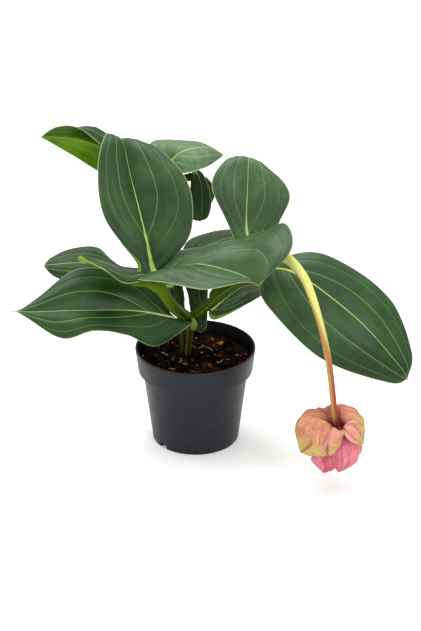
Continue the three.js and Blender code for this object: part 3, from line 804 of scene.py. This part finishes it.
# How far each blade has deepened from its young colour, from 0 to 1, at its foot and at its tip.
# This is partly the blade's age and partly painted light and shade: the top right leaf has the
# young colour as a painted sheen, the right low leaf is painted lighter at its foot, and the
# others are set lighter or darker as they are lit or shaded.
AGE_AND_SHADE = {
    "leaf_low_left": (1.0, 1.0), "leaf_front_up": (0.87, 0.87), "leaf_right_low": (0.5, 1.15),
    "leaf_front_broad": (0.76, 0.76), "leaf_right_up": (0.6, 0.6), "leaf_top_right": (0.0, 0.0),
    "leaf_top_left": (0.86, 0.86),
}
PLAIN_AGE_AND_SHADE = (0.95, 0.95)
# Each nerve: how far out it runs, as a share of the half width, where it leaves the midrib, and
# over how much of the blade it gets there.
NERVES = ((0.42, 0.34, 0.22), (0.76, 0.23, 0.30), (0.93, 0.14, 0.34))
NERVE_HALF = (0.44, 0.36, 0.26)         # half widths in mm
NERVE_GRADE = (1.0, 0.55, 0.16)         # how pale each nerve is
# Columns of corners from the midrib to the first nerve and on from each nerve, as shares.
INNER_STEPS = (0.0, 0.07, 0.16, 0.28, 0.42, 0.58, 0.74, 0.88)
OUTER_STEPS = (0.0, 0.12, 0.3, 0.5, 0.7, 0.84, 0.94)
PLEAT = 0.05                            # its height, over the gap between two nerves
RIPPLES = ((0.55, 19.0), (0.14, 5.0))   # height and spacing in mm
KEEL, RAISED_RIB = 1.2, 0.45            # the midrib below and above the blade, over its half width
NERVE_RIDGE, NERVE_GROOVE = 0.22, 0.12  # a nerve below and above the blade, in mm
FULL_LENGTH = 120.0                     # a blade of this length in mm has the heaviest nerves


def read(table, shares):
    """What a table of rows, each of a share and a value, says at these shares."""
    return np.interp(shares, *zip(*table))


def doubled(values):
    """The same values for the upper and the lower skin of a sheet."""
    return np.tile(values.ravel(), 2)


def nerve_place(number, along):
    """How far out a nerve lies, as a share of the half width, along the blade."""
    share, leaves, run = NERVES[number]
    start = 0.03 * (number + 1)
    return start + (share - start) * np.sin(np.clip((along - leaves) / run, 0, 1) * math.pi / 2)


def wander(points, size, seed):
    """Smooth noise at points in mm. Each seed reads another part of it."""
    shift = Vector((seed * 7.3, seed * 3.1, 0))
    return np.array([noise.noise(Vector(p) / size + shift) for p in points])


def shell(top, bottom):
    """Corners and faces of the closed skin between two grids of points."""
    rows, columns = top.shape[:2]
    count = rows * columns
    at = np.arange(count).reshape(rows, columns)
    upper = np.stack([at[:-1, :-1], at[:-1, 1:], at[1:, 1:], at[1:, :-1]], -1).reshape(-1, 4)
    lower = upper[:, ::-1] + count
    border = np.concatenate([at[0, :-1], at[:-1, -1], at[-1, :0:-1], at[:0:-1, 0]])
    beyond = np.roll(border, -1)
    rim = np.stack([beyond, border, border + count, beyond + count], -1)
    return np.vstack([top.reshape(-1, 3), bottom.reshape(-1, 3)]), np.vstack([upper, lower, rim])


def grid_normals(grid):
    """Which way a grid of points faces at each of them."""
    across = np.gradient(grid, axis=1)
    along = np.gradient(grid, axis=0)
    normals = np.cross(across, along)
    return normals / (np.linalg.norm(normals, axis=2)[..., None] + 1e-9)


leaf_finish, wire, place = new_finish("glossy leaf")
rib = wire.mark("rib")
nerve = wire.mark("nerve")
grade = wire.mark("grade")
edge = wire.mark("edge")
under = wire.mark("under")
along = wire.mark("along")
blade_place = wire.mark("blade", "Vector")
midrib = rib.fade(1.1, 0.75) * (1.0 - 0.45 * along.fade(0.2, 0.9))
veins = nerve.fade(1.5, 0.5) * grade
margin = edge.fade(1.15, 0.35)
cloud = place.grain(26, 3, 0.55)
mottle = place.grain(190, 4, 0.6)
ladder = blade_place.stretched((0.10, 0.9, 1.0)).grain(1.0, 3, 0.55)
leather = place.grain(1500, 2)
aged = cloud.fade(0.35, 0.7).blend((0.007, 0.030, 0.006), (0.018, 0.056, 0.012))
# The young colour, lightened and greyed so that it also stands for a painted sheen.
fresh_and_sheen = cloud.fade(0.35, 0.7).blend((0.082, 0.142, 0.068), (0.130, 0.208, 0.108))
age_and_shade = wire.mark("age_and_shade")
deep = age_and_shade.blend(fresh_and_sheen, aged)
deep = (mottle.fade(0.4, 0.75) * 0.4).blend(deep, (0.011, 0.048, 0.005))
deep = (ladder.fade(0.5, 0.8) * 0.3).blend(deep, (0.038, 0.092, 0.022))
rim = margin * along.fade(0.05, 0.16) * (0.95 - 0.5 * age_and_shade)
upper = (veins * 0.5).blend(deep, (0.28, 0.41, 0.15))
upper = rim.blend(upper, (0.38, 0.50, 0.22))
upper = (midrib * 0.95).blend(upper, (0.40, 0.54, 0.13))
upper = (along.fade(0.955, 1.0) * 0.8).blend(upper, (0.20, 0.34, 0.03))
lime = cloud.fade(0.3, 0.75).blend((0.062, 0.165, 0.001), (0.125, 0.26, 0.003))
# Painted shade: the left half of the underside of the top left leaf, found by place, is darkened.
shaded_half = blade_place.axis("X").fade(0.5, -3.0) * place.axis("Z").fade(0.25, 0.28)
shaded_half = shaded_half * place.axis("X").fade(-0.06, -0.10)
lime = (shaded_half * 0.8).blend(lime, (0.016, 0.060, 0.001))
lime = (veins * 0.4).blend(lime, (0.24, 0.36, 0.04))
lime = (wire.math("MAXIMUM", midrib, margin) * 0.7).blend(lime, (0.34, 0.48, 0.08))
leaf_colour = under.fade(0.35, 0.65).blend(upper, lime)
gloss = 0.38 + 0.12 * cloud + 0.06 * mottle + 0.10 * under
sunk = ladder * 0.35 + leather * 0.12 + mottle * 0.15 - veins * 0.5
close_finish(
    wire, leaf_colour, gloss, sunk, 0.0003,
    Specular_IOR_Level=0.14, Coat_Weight=0.12 - 0.12 * under, Coat_Roughness=0.3,
)


def blade(name):
    """One leaf: a pleated sheet on its midrib and edges, with a ridge beneath the midrib.

    Gives the share of the leaf's length at each of its rows, and its two edges in mm.
    """
    joint, ribs, left, right = BLADES[name]
    at, radius = JOINTS[joint]
    outward = np.array(ribs[0], float) - at
    start = np.array(at) + outward / np.linalg.norm(outward) * (radius - ROOTED)
    tip = ribs[-1]
    s = 1 - (1 - np.linspace(0.0, 1.0, BLADE_ROWS)) ** ROW_CROWDING
    s = CUT_ENDS + (1 - 2 * CUT_ENDS) * s
    midline = through([start, *ribs], s)
    tangent = through([start, *ribs], s + 0.02) - through([start, *ribs], s - 0.02)
    swells = SWELL.get(name, PLAIN_SWELL)
    size = min(1.0, np.linalg.norm(np.array(tip) - start) / FULL_LENGTH)
    weight = RIB_WEIGHTS.get(name, PLAIN_WEIGHT * size)
    rib_half = RIB_TIP * min(size, 4 * weight) + RIB_FOOT * weight * np.exp(-((s / RIB_RUN) ** 2))
    feet = FEET.get(name, (PLAIN_FOOT * size, PLAIN_FOOT * size))
    halves = []
    for side, edge, swell, reach in ((-1, left, swells[0], feet[0]), (1, right, swells[1], feet[1])):
        foot = reach * np.exp(-((s / FOOT_RUN) ** 2))
        rim = through([start, *edge, tip], s)
        inside = np.clip(s, 0.06, 0.94)
        across = through([start, *edge, tip], inside) - through([start, *ribs], inside)
        up = np.cross(across * side, tangent)
        up /= np.linalg.norm(up, axis=1)[:, None]
        width = np.linalg.norm(rim - midline, axis=1)
        # The half is as wide as its edge or its foot, whichever is more, with a smooth change.
        spread = (1 + (foot / width) ** 5) ** 0.2
        if name in DRAWN_TIPS:
            run, narrowing = DRAWN_TIPS[name]
            spread = spread * (1 - narrowing * np.exp(-(((1 - s) / run) ** 2)))
        rim = midline + (rim - midline) * spread[:, None]
        width = width * spread
        swell = read(swell, s)
        lines = [np.zeros_like(s), *(nerve_place(n, s) for n in range(3)), np.ones_like(s)]
        columns = []
        for n in range(4):
            for step in INNER_STEPS if n == 0 else OUTER_STEPS:
                if side == 1 or n or step:
                    columns.append((lines[n] + step * (lines[n + 1] - lines[n]), n, step))
        columns.append((lines[4], 4, 0.0))
        half = []
        for out, n, step in columns:
            arch = swell * width * np.sin(math.pi * out) ** 1.3
            gap = (lines[min(n + 1, 4)] - lines[min(n, 3)]) * width
            pleat = PLEAT * np.minimum(gap, 16) * math.sin(math.pi * step)
            point = midline + (rim - midline) * out[:, None] + up * (arch + pleat)[:, None]
            away = np.array([np.abs(out - lines[k + 1]) * width / NERVE_HALF[k] for k in range(3)])
            nearest = away.argmin(0)
            grade = np.array(NERVE_GRADE)[nearest]
            clear = np.minimum(away.min(0), 40)
            half.append((point, out * width * side, (1 - out) * width, clear, grade))
        halves.append(half[::-1] if side < 0 else half)
    columns = halves[0] + halves[1]
    grid, out, to_edge, to_nerve, grade = (np.stack([c[k] for c in columns], 1) for k in range(5))
    normals = grid_normals(grid)
    seed = len(name) + ribs[0][0]
    ripple = sum(
        rise * wander(grid.reshape(-1, 3), spacing, seed + n)
        for n, (rise, spacing) in enumerate(RIPPLES)
    )
    settled = np.sin(np.clip(s * 6, 0, 1) * math.pi / 2)[:, None, None]
    grid = grid + normals * ripple.reshape(*grid.shape[:2], 1) * settled
    hump = rib_half[:, None] * np.exp(-((out / (1.25 * rib_half[:, None])) ** 2))
    raised = RAISED_RIB * hump * np.exp(-((s / 0.2) ** 2))[:, None]
    groove = NERVE_GROOVE * grade * np.exp(-(to_nerve / 1.3) ** 2)
    ridge = NERVE_RIDGE * grade * np.exp(-(to_nerve / 1.6) ** 2)
    thick = BLADE_THICK * (0.45 + 0.55 * np.clip(to_edge / 2.5, 0, 1))
    corners, faces = shell(
        grid + normals * (thick / 2 + raised - groove)[..., None],
        grid - normals * (thick / 2 + KEEL * hump + ridge)[..., None],
    )
    share = np.broadcast_to(s[:, None], out.shape)
    length = share * np.linalg.norm(np.array(tip) - start)
    young, old = AGE_AND_SHADE.get(name, PLAIN_AGE_AND_SHADE)
    marks = {
        "age_and_shade": doubled(np.clip(young + (old - young) * share, 0, 1)),
        "rib": doubled(np.abs(out) / rib_half[:, None]),
        "nerve": doubled(to_nerve),
        "grade": doubled(grade * (1 - 0.45 * share) * size ** 2),
        "edge": doubled(to_edge),
        "along": doubled(share),
        "under": np.concatenate([np.zeros(out.size), np.ones(out.size)]),
        "blade": np.tile(np.stack([out, length, 0 * out], -1).reshape(-1, 3), (2, 1)),
    }
    thing = plain_mesh(name + "_blade", corners, faces, leaf_finish, marks)
    settle(thing, "leaf", name)
    return s, (grid[:, 0], grid[:, -1])


margins = {name: blade(name) for name in BLADES}

# ---- The rolled margins --------------------------------------------------------------------
# Where a young blade is still uncurling its margin rolls over and shows the lime green beneath,
# and one leaf's foot clasps the stem with a fleshy lobe. Each is soft and part of its leaf.

# Each roll: its leaf, which edge it is on, 0 for the left or 1 for the right, and its radius in
# mm at shares of the leaf's length.
ROLLS = [
    ("leaf_front_left", 0, [(0.50, 0.3), (0.75, 1.2), (0.92, 2.7), (0.97, 3.0), (1.0, 1.8)]),
    ("leaf_front_up", 0, [(0.0, 2.4), (0.10, 2.6), (0.20, 1.7), (0.32, 0.3)]),
    ("leaf_right_inner", 1, [(0.08, 1.0), (0.20, 2.2), (0.35, 1.4), (0.55, 0.3)]),
    ("leaf_front_broad", 1, [(0.90, 0.3), (0.97, 0.9), (1.0, 0.6)]),
]
CLASP = [(-2.5, -8.0, 135.0), (-1.6, -9.0, 131.5), (-1.6, -9.5, 127.5), (-3.0, -9.0, 122.5)]
CLASP_RADII = [(0.0, 0.9), (0.2, 2.6), (0.6, 3.4), (0.9, 2.4), (1.0, 0.8)]
CLASP_STEP = 0.6

roll_finish, wire, place = new_finish("rolled margin")
streak = place.grain(260, 4, 0.6)
cloud = place.grain(60, 3, 0.5)
lime = streak.fade(0.35, 0.7).blend((0.085, 0.145, 0.006), (0.17, 0.25, 0.018))
lime = (cloud.fade(0.5, 0.8) * 0.5).blend(lime, (0.27, 0.37, 0.06))
close_finish(wire, lime, 0.45 + 0.1 * streak, streak, 0.0003, Specular_IOR_Level=0.25)

runs = []
for name, edge, radii in ROLLS:
    s, edges = margins[name]
    rows = (s >= radii[0][0]) & (s <= radii[-1][0])
    runs.append((edges[edge][rows], read(radii, s[rows])))
places, shares = even_path(CLASP, CLASP_STEP)
runs.append((places, read(CLASP_RADII, shares)))
rolls = grown(paths_object("rolled_margins", runs), fleshy, Sides=16, Ridge=0.0, Material=roll_finish)
settle(rolls, "leaf")

# ---- The flower stalk ----------------------------------------------------------------------
# It springs from the right joint, arches forward and hangs to the bloom: fleshy, softly ribbed,
# yellow-green where it leaves the shoot and flushed red down one side towards the bloom.

STALK = [
    (61, -6, 186), (72, -17, 199), (86.5, -28, 209.7), (102, -46, 200), (111, -60, 184),
    (120, -75, 158), (127, -87, 128), (131, -93, 99), (133.3, -97, 76), (134, -98, 61),
]
# Its radius in mm at shares of its length.
STALK_RADII = [(0.0, 5.6), (0.25, 4.8), (0.4, 4.15), (0.52, 3.45), (0.7, 3.25), (1.0, 3.0)]
# At shares of its length, which way the red flush faces, in degrees about Z. It turns about the
# stalk, from its left near the top to its right at the bloom.
FLUSH_HEADING = [
    (0.0, 175), (0.4, 185), (0.52, 200), (0.585, 218), (0.645, 258), (0.69, 300), (0.76, 342),
    (1.0, 358),
]
# How far round the flush reaches there: -1 is hardly at all, and 0 is half way round.
FLUSH_REACH = [
    (0.0, -0.95), (0.4, -0.7), (0.52, -0.5), (0.645, -0.55), (0.69, -0.4), (0.76, -0.15), (1.0, 0.0),
]

stalk_finish, wire, place = new_finish("flower stalk")
around = wire.mark("around", "Vector")
along = wire.mark("along")
shift = wire.node("ShaderNodeCombineXYZ", None, {"Z": along * 9.0})
streak = wire.node("ShaderNodeVectorMath", {"operation": "ADD"}, {
    0: around.stretched((1.6, 1.6, 1.0)), 1: shift,
}).grain(1.7, 4, 0.6)
flush = wire.mark("flush")
share = wire.mark("share")
low = share.fade(0.42, 0.75)
yellow = low.blend((0.54, 0.56, 0.14), (0.36, 0.23, 0.045))
yellow = (streak.fade(0.4, 0.7) * (0.7 - 0.62 * low)).blend(yellow, (0.74, 0.76, 0.26))
yellow = (streak.fade(0.5, 0.3) * (0.5 - 0.2 * low)).blend(yellow, (0.36, 0.38, 0.060))
red = share.fade(0.6, 0.85).blend((0.40, 0.170, 0.060), (0.29, 0.028, 0.024))
side = (flush + (streak - 0.5) * 0.6).fade(0.33, 0.72)
stalk_colour = side.blend(yellow, red)
stalk_colour = share.fade(0.925, 0.975).blend(stalk_colour, (0.13, 0.006, 0.008))
close_finish(wire, stalk_colour, 0.38 + 0.12 * streak, streak, 0.0004, Specular_IOR_Level=0.25)

places, shares = even_path(STALK)
stalk = paths_object("stalk", [(places, read(STALK_RADII, shares))])
stalk = grown(stalk, fleshy, Sides=32, Ridge=0.03, Material=stalk_finish)
corners = corners_of(stalk)
near = np.linalg.norm(corners[:, None] - places[None], axis=2).argmin(1)
outward = corners - places[near]
outward /= np.linalg.norm(outward, axis=1)[:, None]
share = shares[near]
heading = np.radians(read(FLUSH_HEADING, share))
facing = outward[:, 0] * np.cos(heading) + outward[:, 1] * np.sin(heading)
store(stalk, "flush", 0.5 + 0.5 * (facing + read(FLUSH_REACH, share)))
store(stalk, "share", share)
settle(stalk, "stalk", "flower_stalk")

# ---- The bloom -----------------------------------------------------------------------------
# A nodding head of thin bracts round a cluster of buds: four broad hoods above, salmon pink with
# olive tips, and four below that close over the buds, deeper pink. Each is creased and wavy, with
# painted shade in its creases and round the stalk.

BLOOM_AT = np.array([137.0, -98.0, 62.0])
# Each bract, in mm about the stalk's end: its midrib, then its two edges, then each half's swell.
BRACTS = {
    "left hood": (
        [(-3, -1, -3), (-15, -3, 11), (-30, -7, 18), (-39, -12, 11), (-39, -15, -3), (-36, -12, -20)],
        [(-5, -5, 0), (-8, -13, -1), (-12, -19, -10), (-11, -19, -20), (-24, -17, -21)],
        [(-8, 6, 8), (-20, 12, 14), (-34, 8, 11), (-41, -2, 3), (-39, -8, -8)], (0.20, 0.04)),
    "front hood": (
        [(0, -3, -3), (1, -9, 2), (1, -14, -1), (-3, -17, -9), (-7, -17, -21)],
        [(3, -5, 0), (6, -10, 1), (2, -15, -9), (-3, -17, -17)],
        [(-6, -3, 4), (-10, -9, 2), (-12, -15, -9), (-10, -17, -18)], (0.08, 0.05)),
    "right hood": (
        [(3, -1, -2), (10, -2, 9), (18, -3, 9), (24, -5, 0), (24, -8, -13)],
        [(1, 7, 7), (1, 17, 16), (12, 17, 16), (21, 9, 11), (25, 1, 6)],
        [(4, -5, 0), (6, -11, -2), (12, -13, -8), (19, -11, -12)], (0.06, 0.12)),
    "back hood": (
        [(0, 3, -3), (-4, 12, 8), (-9, 22, 11), (-13, 29, 4), (-14, 31, -8)],
        [(-7, 2, 3), (-18, 8, 10), (-23, 18, 9), (-22, 28, 1)],
        [(4, 6, 4), (5, 17, 13), (0, 28, 10), (-7, 32, 0)], (0.10, 0.10)),
    "left lower": (
        [(-3, -4, -7), (-10, -12, -13), (-12, -15, -24), (-11, -13, -36), (-13, -6, -46)],
        [(3, -7, -9), (3, -14, -18), (2, -13, -33), (-6, -8, -42)],
        [(-8, -4, -9), (-20, -6, -18), (-25, -7, -29), (-19, -6, -40)], (0.16, 0.16)),
    "right lower": (
        [(4, -4, -4), (9, -11, -8), (11, -16, -18), (9, -15, -31), (1, -8, -44)],
        [(9, 0, -6), (21, -4, -12), (22, -4, -26), (13, -5, -39)],
        [(-1, -9, -7), (-5, -16, -20), (-3, -14, -32), (-1, -10, -40)], (0.16, 0.14)),
    "back lower": (
        [(4, 4, -5), (13, 13, -9), (16, 16, -22), (11, 12, -35), (3, 3, -43)],
        [(-3, 6, -7), (-5, 19, -17), (-5, 18, -31), (-1, 9, -40)],
        [(8, -1, -6), (19, -6, -13), (19, -8, -28), (11, -7, -39)], (0.16, 0.16)),
    "far lower": (
        [(-4, 4, -6), (-13, 12, -11), (-17, 14, -24), (-13, 10, -36), (-5, 2, -44)],
        [(-7, -2, -7), (-18, -9, -15), (-21, -10, -28), (-13, -9, -40)],
        [(2, 6, -8), (3, 18, -18), (1, 17, -31), (-1, 8, -40)], (0.16, 0.16)),
}
BRACT_ROWS = 72
BRACT_COLUMNS = 65
BRACT_THICK = 0.6
BRACT_END = 0.985                       # the share of its curves at which a bract's tip is cut
PLEAT_RISE, FRILL_RISE, CRUMPLE_RISE, FOLD_DEPTH = 0.55, 2.6, 1.6, 1.2
CRUMPLE_SPACING = 6.5
# The bud: radius, height below the stalk's end and corner radius, as in the pot's outline.
BUD_OUTLINE = [
    (0, -34, 0), (4.2, -34, 1), (7.2, -27, 2), (9, -17, 4), (9, -4, 1), (6.5, 0.5, 2), (0, 2, 0),
]
BUD_SIDES = 40
# For each bract: how sharply it folds near its midrib, where the fold lies between its left edge
# at -1 and its right edge at 1, how deep its pleats are, how rosy it is at its middle and at its
# right edge, where less than 0 is wine red, and how yellow-green a strip on its right edge is.
LOOKS = {
    "left hood": (1.0, -0.43, 0.6, -0.1, -0.7, 1.0), "front hood": (0.0, 0.0, 0.25, 0.5, 1.0, 0.0),
    "right hood": (0.0, 0.0, 0.8, 0.3, 1.0, 0.0), "back hood": (0.5, 0.0, 0.8, -0.8, -0.8, 0.0),
    "left lower": (0.6, 0.0, 0.9, 0.1, 1.2, 0.0), "right lower": (0.5, 0.0, 0.9, 0.6, 0.5, 0.0),
    "back lower": (0.5, 0.0, 0.9, 0.5, 0.5, 0.0), "far lower": (0.5, 0.0, 0.9, 0.4, 0.4, 0.0),
}

bract_finish, wire, place = new_finish("bract skin")
out = wire.mark("out")
across = wire.mark("across")
lower = wire.mark("lower")
shaded_crease = wire.mark("shaded_crease")
green = wire.mark("green")
rosy = wire.mark("rosy")
strip = wire.mark("strip")
cloud = place.grain(75, 4, 0.6)
fine = place.grain(420, 4, 0.6)
bract_place = wire.mark("bract", "Vector")
veining = bract_place.stretched((17.0, 0.8, 1.0)).grain(1.0, 3, 0.6)
broad_veining = bract_place.stretched((6.0, 0.5, 1.0)).grain(1.0, 3, 0.6)
salmon = cloud.fade(0.35, 0.65).blend((0.44, 0.175, 0.100), (0.52, 0.265, 0.125))
salmon = (broad_veining.fade(0.46, 0.66) * 0.85).blend(salmon, (0.45, 0.095, 0.095))
# Cream patches at random: partly the bract's own pale tone and partly painted highlight.
salmon = (place.grain(110, 3, 0.6).fade(0.5, 0.72) * 0.35).blend(salmon, (0.62, 0.38, 0.19))
salmon = (rosy.fade(0.2, 1.1) * 0.9).blend(salmon, (0.72, 0.30, 0.28))
salmon = (veining.fade(0.45, 0.75) * 0.6).blend(salmon, (0.68, 0.40, 0.25))
salmon = (veining.fade(0.45, 0.2) * 0.7).blend(salmon, (0.28, 0.060, 0.045))
olive = fine.fade(0.35, 0.7).blend((0.42, 0.29, 0.075), (0.56, 0.41, 0.15))
greenish = (green + (broad_veining - 0.5) * 0.7).fade(0.3, 0.8)
hood = (greenish * 0.8).blend(salmon, olive)
yellowish = fine.fade(0.35, 0.7).blend((0.30, 0.31, 0.050), (0.42, 0.42, 0.10))
hood = (strip * 0.9).blend(hood, yellowish)
# Painted shade: near their feet, in the hollow where the stalk enters, the hoods and the bud are painted
# deep red.
hood = (out.fade(0.27, 0.12) * 0.95).blend(hood, (0.11, 0.002, 0.003))
hood = (rosy * -0.9).blend(hood, (0.30, 0.058, 0.048))
hood = (wire.mark("inner") * 0.7).blend(hood, (0.56, 0.22, 0.18))
# Painted shade in the creases and the pleats' valleys.
hood = (shaded_crease * 0.65).blend(hood, (0.15, 0.030, 0.022))
pink = cloud.fade(0.35, 0.7).blend((0.40, 0.050, 0.080), (0.50, 0.11, 0.145))
pink = (rosy * 0.8).blend(pink, (0.66, 0.22, 0.25))
pink = (veining.fade(0.45, 0.2) * 0.5).blend(pink, (0.42, 0.060, 0.090))
pink = (veining.fade(0.45, 0.7) * 0.4).blend(pink, (0.84, 0.38, 0.42))
pink = (out.fade(0.42, 0.2) * 0.6).blend(pink, (0.36, 0.025, 0.05))
# Painted shade in the creases and the pleats' valleys.
pink = (shaded_crease * 0.5).blend(pink, (0.26, 0.024, 0.044))
bract_colour = lower.blend(hood, pink)
margin = across.fade(0.95, 0.995) * out.fade(0.45, 0.7)
bract_colour = (margin * 0.75).blend(bract_colour, (0.11, 0.05, 0.055))
close_finish(
    wire, bract_colour, 0.46 + 0.14 * fine, veining * 0.8 + fine * 0.3 - shaded_crease * 0.8, 0.0006,
    Specular_IOR_Level=0.12,
)


def bract(name, seed):
    """One bract: a thin sheet on its midrib and edges, pleated from its base and creased."""
    ribs, left, right, swells = BRACTS[name]
    sharpness, stray, pleating, rosy_middle, rosy_edge, stripe = LOOKS[name]
    s = np.linspace(0.0, BRACT_END, BRACT_ROWS)
    v = np.linspace(-1, 1, BRACT_COLUMNS)
    tip = ribs[-1]
    midline = through(ribs, s)
    tangent = through(ribs, s + 0.02) - through(ribs, s - 0.02)
    grid = np.zeros((BRACT_ROWS, BRACT_COLUMNS, 3))
    for side, edge, swell in ((-1, left, swells[0]), (1, right, swells[1])):
        edge = [ribs[0], *edge, tip]
        rim = through(edge, s)
        inside = np.clip(s, 0.08, 0.92)
        up = np.cross((through(edge, inside) - through(ribs, inside)) * side, tangent)
        up /= np.linalg.norm(up, axis=1)[:, None]
        width = np.linalg.norm(rim - midline, axis=1)
        for column in np.flatnonzero(v * side >= 0):
            out = abs(v[column])
            arch = swell * width * math.sin(math.pi * out) ** 2
            grid[:, column] = midline + (rim - midline) * out + up * arch[:, None]
    normals = grid_normals(grid)
    sv, vv = np.meshgrid(s, v, indexing="ij")
    settled = np.sin(np.clip(sv * 3, 0, 1) * math.pi / 2)
    wide = np.linalg.norm(grid[:, -1] - grid[:, 0], axis=1).max() / 50
    pleats = 0.6 * np.cos(wide * vv * 21 + seed + 1.5 * sv) + 0.4 * np.cos(wide * vv * 38 + 2 * seed)
    pleats = pleats * pleating
    fold = vv - stray
    keel = sharpness * np.exp(-(fold / 0.06) ** 2) * np.clip((sv - 0.56) * 8, 0, 1)
    frill = np.sin(sv * 17 + seed * 3 + np.sign(vv)) * np.clip(np.abs(vv) - 0.55, 0, 1) ** 1.5
    crumple = wander(grid.reshape(-1, 3), CRUMPLE_SPACING, seed).reshape(sv.shape)
    full = np.sin(math.pi * np.clip(sv, 0.15, 0.85))
    waves = PLEAT_RISE * pleats + FRILL_RISE * frill + CRUMPLE_RISE * crumple
    rise = settled * waves * full - FOLD_DEPTH * keel
    grid = grid + normals * rise[..., None] + BLOOM_AT
    normals = grid_normals(grid)
    thin = BRACT_THICK / 2 * (1 - 0.4 * np.abs(vv) ** 4)
    corners, faces = shell(grid + normals * thin[..., None], grid - normals * thin[..., None])
    rosiness = rosy_middle + (rosy_edge - rosy_middle) * vv
    green = 3.2 * (sv - 0.42) - 0.4 * rosiness - stripe * np.clip(1.6 * vv + 0.7, 0, 0.8)
    strip = np.clip(5 * (vv + 2.8 * sv - 1.95), 0, 1) * np.clip(8 * (sv - 0.52), 0, 1)
    # Where the bract is creased or pleated inwards, to be painted darker as shade.
    shaded_crease = keel + np.clip(-pleats - 0.15, 0, 1) * settled * 0.9
    marks = {
        "out": doubled(sv),
        "across": doubled(np.maximum(np.abs(vv), sv / BRACT_END)),
        "lower": np.full(2 * sv.size, float("lower" in name)),
        "rosy": doubled(rosiness),
        "green": doubled(np.clip(green, 0, 1)),
        "strip": doubled(stripe * strip),
        "shaded_crease": doubled(np.clip(shaded_crease, 0, 1)),
        "inner": np.repeat([0.0, 1.0], sv.size),
        "bract": np.tile(np.stack([vv, sv * 8, 0 * sv + seed], -1).reshape(-1, 3), (2, 1)),
    }
    return plain_mesh(name, corners, faces, bract_finish, marks)


bracts = [bract(name, 1.7 * number) for number, name in enumerate(BRACTS)]
bud_corners, bud_faces = turned(rounded(BUD_OUTLINE), BUD_SIDES)
bracts.append(plain_mesh("bud", np.array(bud_corners) + BLOOM_AT, bud_faces, bract_finish, {
    "out": np.full(len(bud_corners), 0.05), "lower": np.zeros(len(bud_corners)),
    "across": np.zeros(len(bud_corners)), "shaded_crease": np.zeros(len(bud_corners)),
}))
for thing in bpy.context.selected_objects:
    thing.select_set(False)
for thing in bracts:
    thing.select_set(True)
bpy.context.view_layer.objects.active = bracts[0]
bpy.ops.object.join()
bracts[0].name = "bloom_bracts"
settle(bracts[0], "bloom", "bloom")

# ---- The studio ----------------------------------------------------------------------------
# A plain pale floor under a large soft light, with a camera a little above the pot's rim.

FLOOR_REACH = 9000                      # mm
# Each lamp: its place, what it faces and its width, in metres, and its power in watts.
LAMPS = {
    "overhead": ((-0.2, 0.4, 1.7), (0.0, 0.0, 0.15), 1.2, 30.0),
    "left": ((-1.5, -0.3, 0.8), (0.0, 0.0, 0.12), 0.7, 1.2),
    "right": ((0.9, -1.4, 1.2), (0.05, 0.0, 0.15), 0.35, 7.0),
}
CAMERA_RISE = math.radians(26.3)
CAMERA_AWAY = 1.9
CAMERA_TARGET = Vector((0.015, 0.0, 0.134))
CAMERA_LENS = 109.86

floor_finish, wire, place = new_finish("pale floor")
close_finish(
    wire, place.grain(3, 2).blend((0.90, 0.90, 0.90), (0.92, 0.92, 0.92)), 0.9, place.grain(300), 0.00001,
    Emission_Color=(1.0, 1.0, 1.0), Emission_Strength=0.13,
)
corners = [(x * FLOOR_REACH, y * FLOOR_REACH, 0) for x, y in ((-1, -1), (1, -1), (1, 1), (-1, 1))]
floor = plain_mesh("floor", corners, [(0, 1, 2, 3)], floor_finish)

scene = bpy.context.scene
scene.view_settings.view_transform = "Standard"
world = bpy.data.worlds.new("pale studio")
world.use_nodes = True
world.node_tree.nodes["Background"].inputs["Color"].default_value = (1.0, 1.0, 1.0, 1.0)
world.node_tree.nodes["Background"].inputs["Strength"].default_value = 1.0
scene.world = world

for name, (at, target, width, power) in LAMPS.items():
    data = bpy.data.lights.new(name, "AREA")
    data.energy = power
    data.size = width
    lamp = bpy.data.objects.new(name, data)
    lamp.location = at
    lamp.rotation_euler = (Vector(target) - Vector(at)).to_track_quat("-Z", "Y").to_euler()
    bpy.context.collection.objects.link(lamp)

view = bpy.data.cameras.new("view")
view.lens = CAMERA_LENS
view.clip_end = 50.0
camera = bpy.data.objects.new("view", view)
away = Vector((0, -math.cos(CAMERA_RISE), math.sin(CAMERA_RISE)))
camera.location = CAMERA_TARGET + CAMERA_AWAY * away
camera.rotation_euler = (math.pi / 2 - CAMERA_RISE, 0, 0)
bpy.context.collection.objects.link(camera)
scene.camera = camera
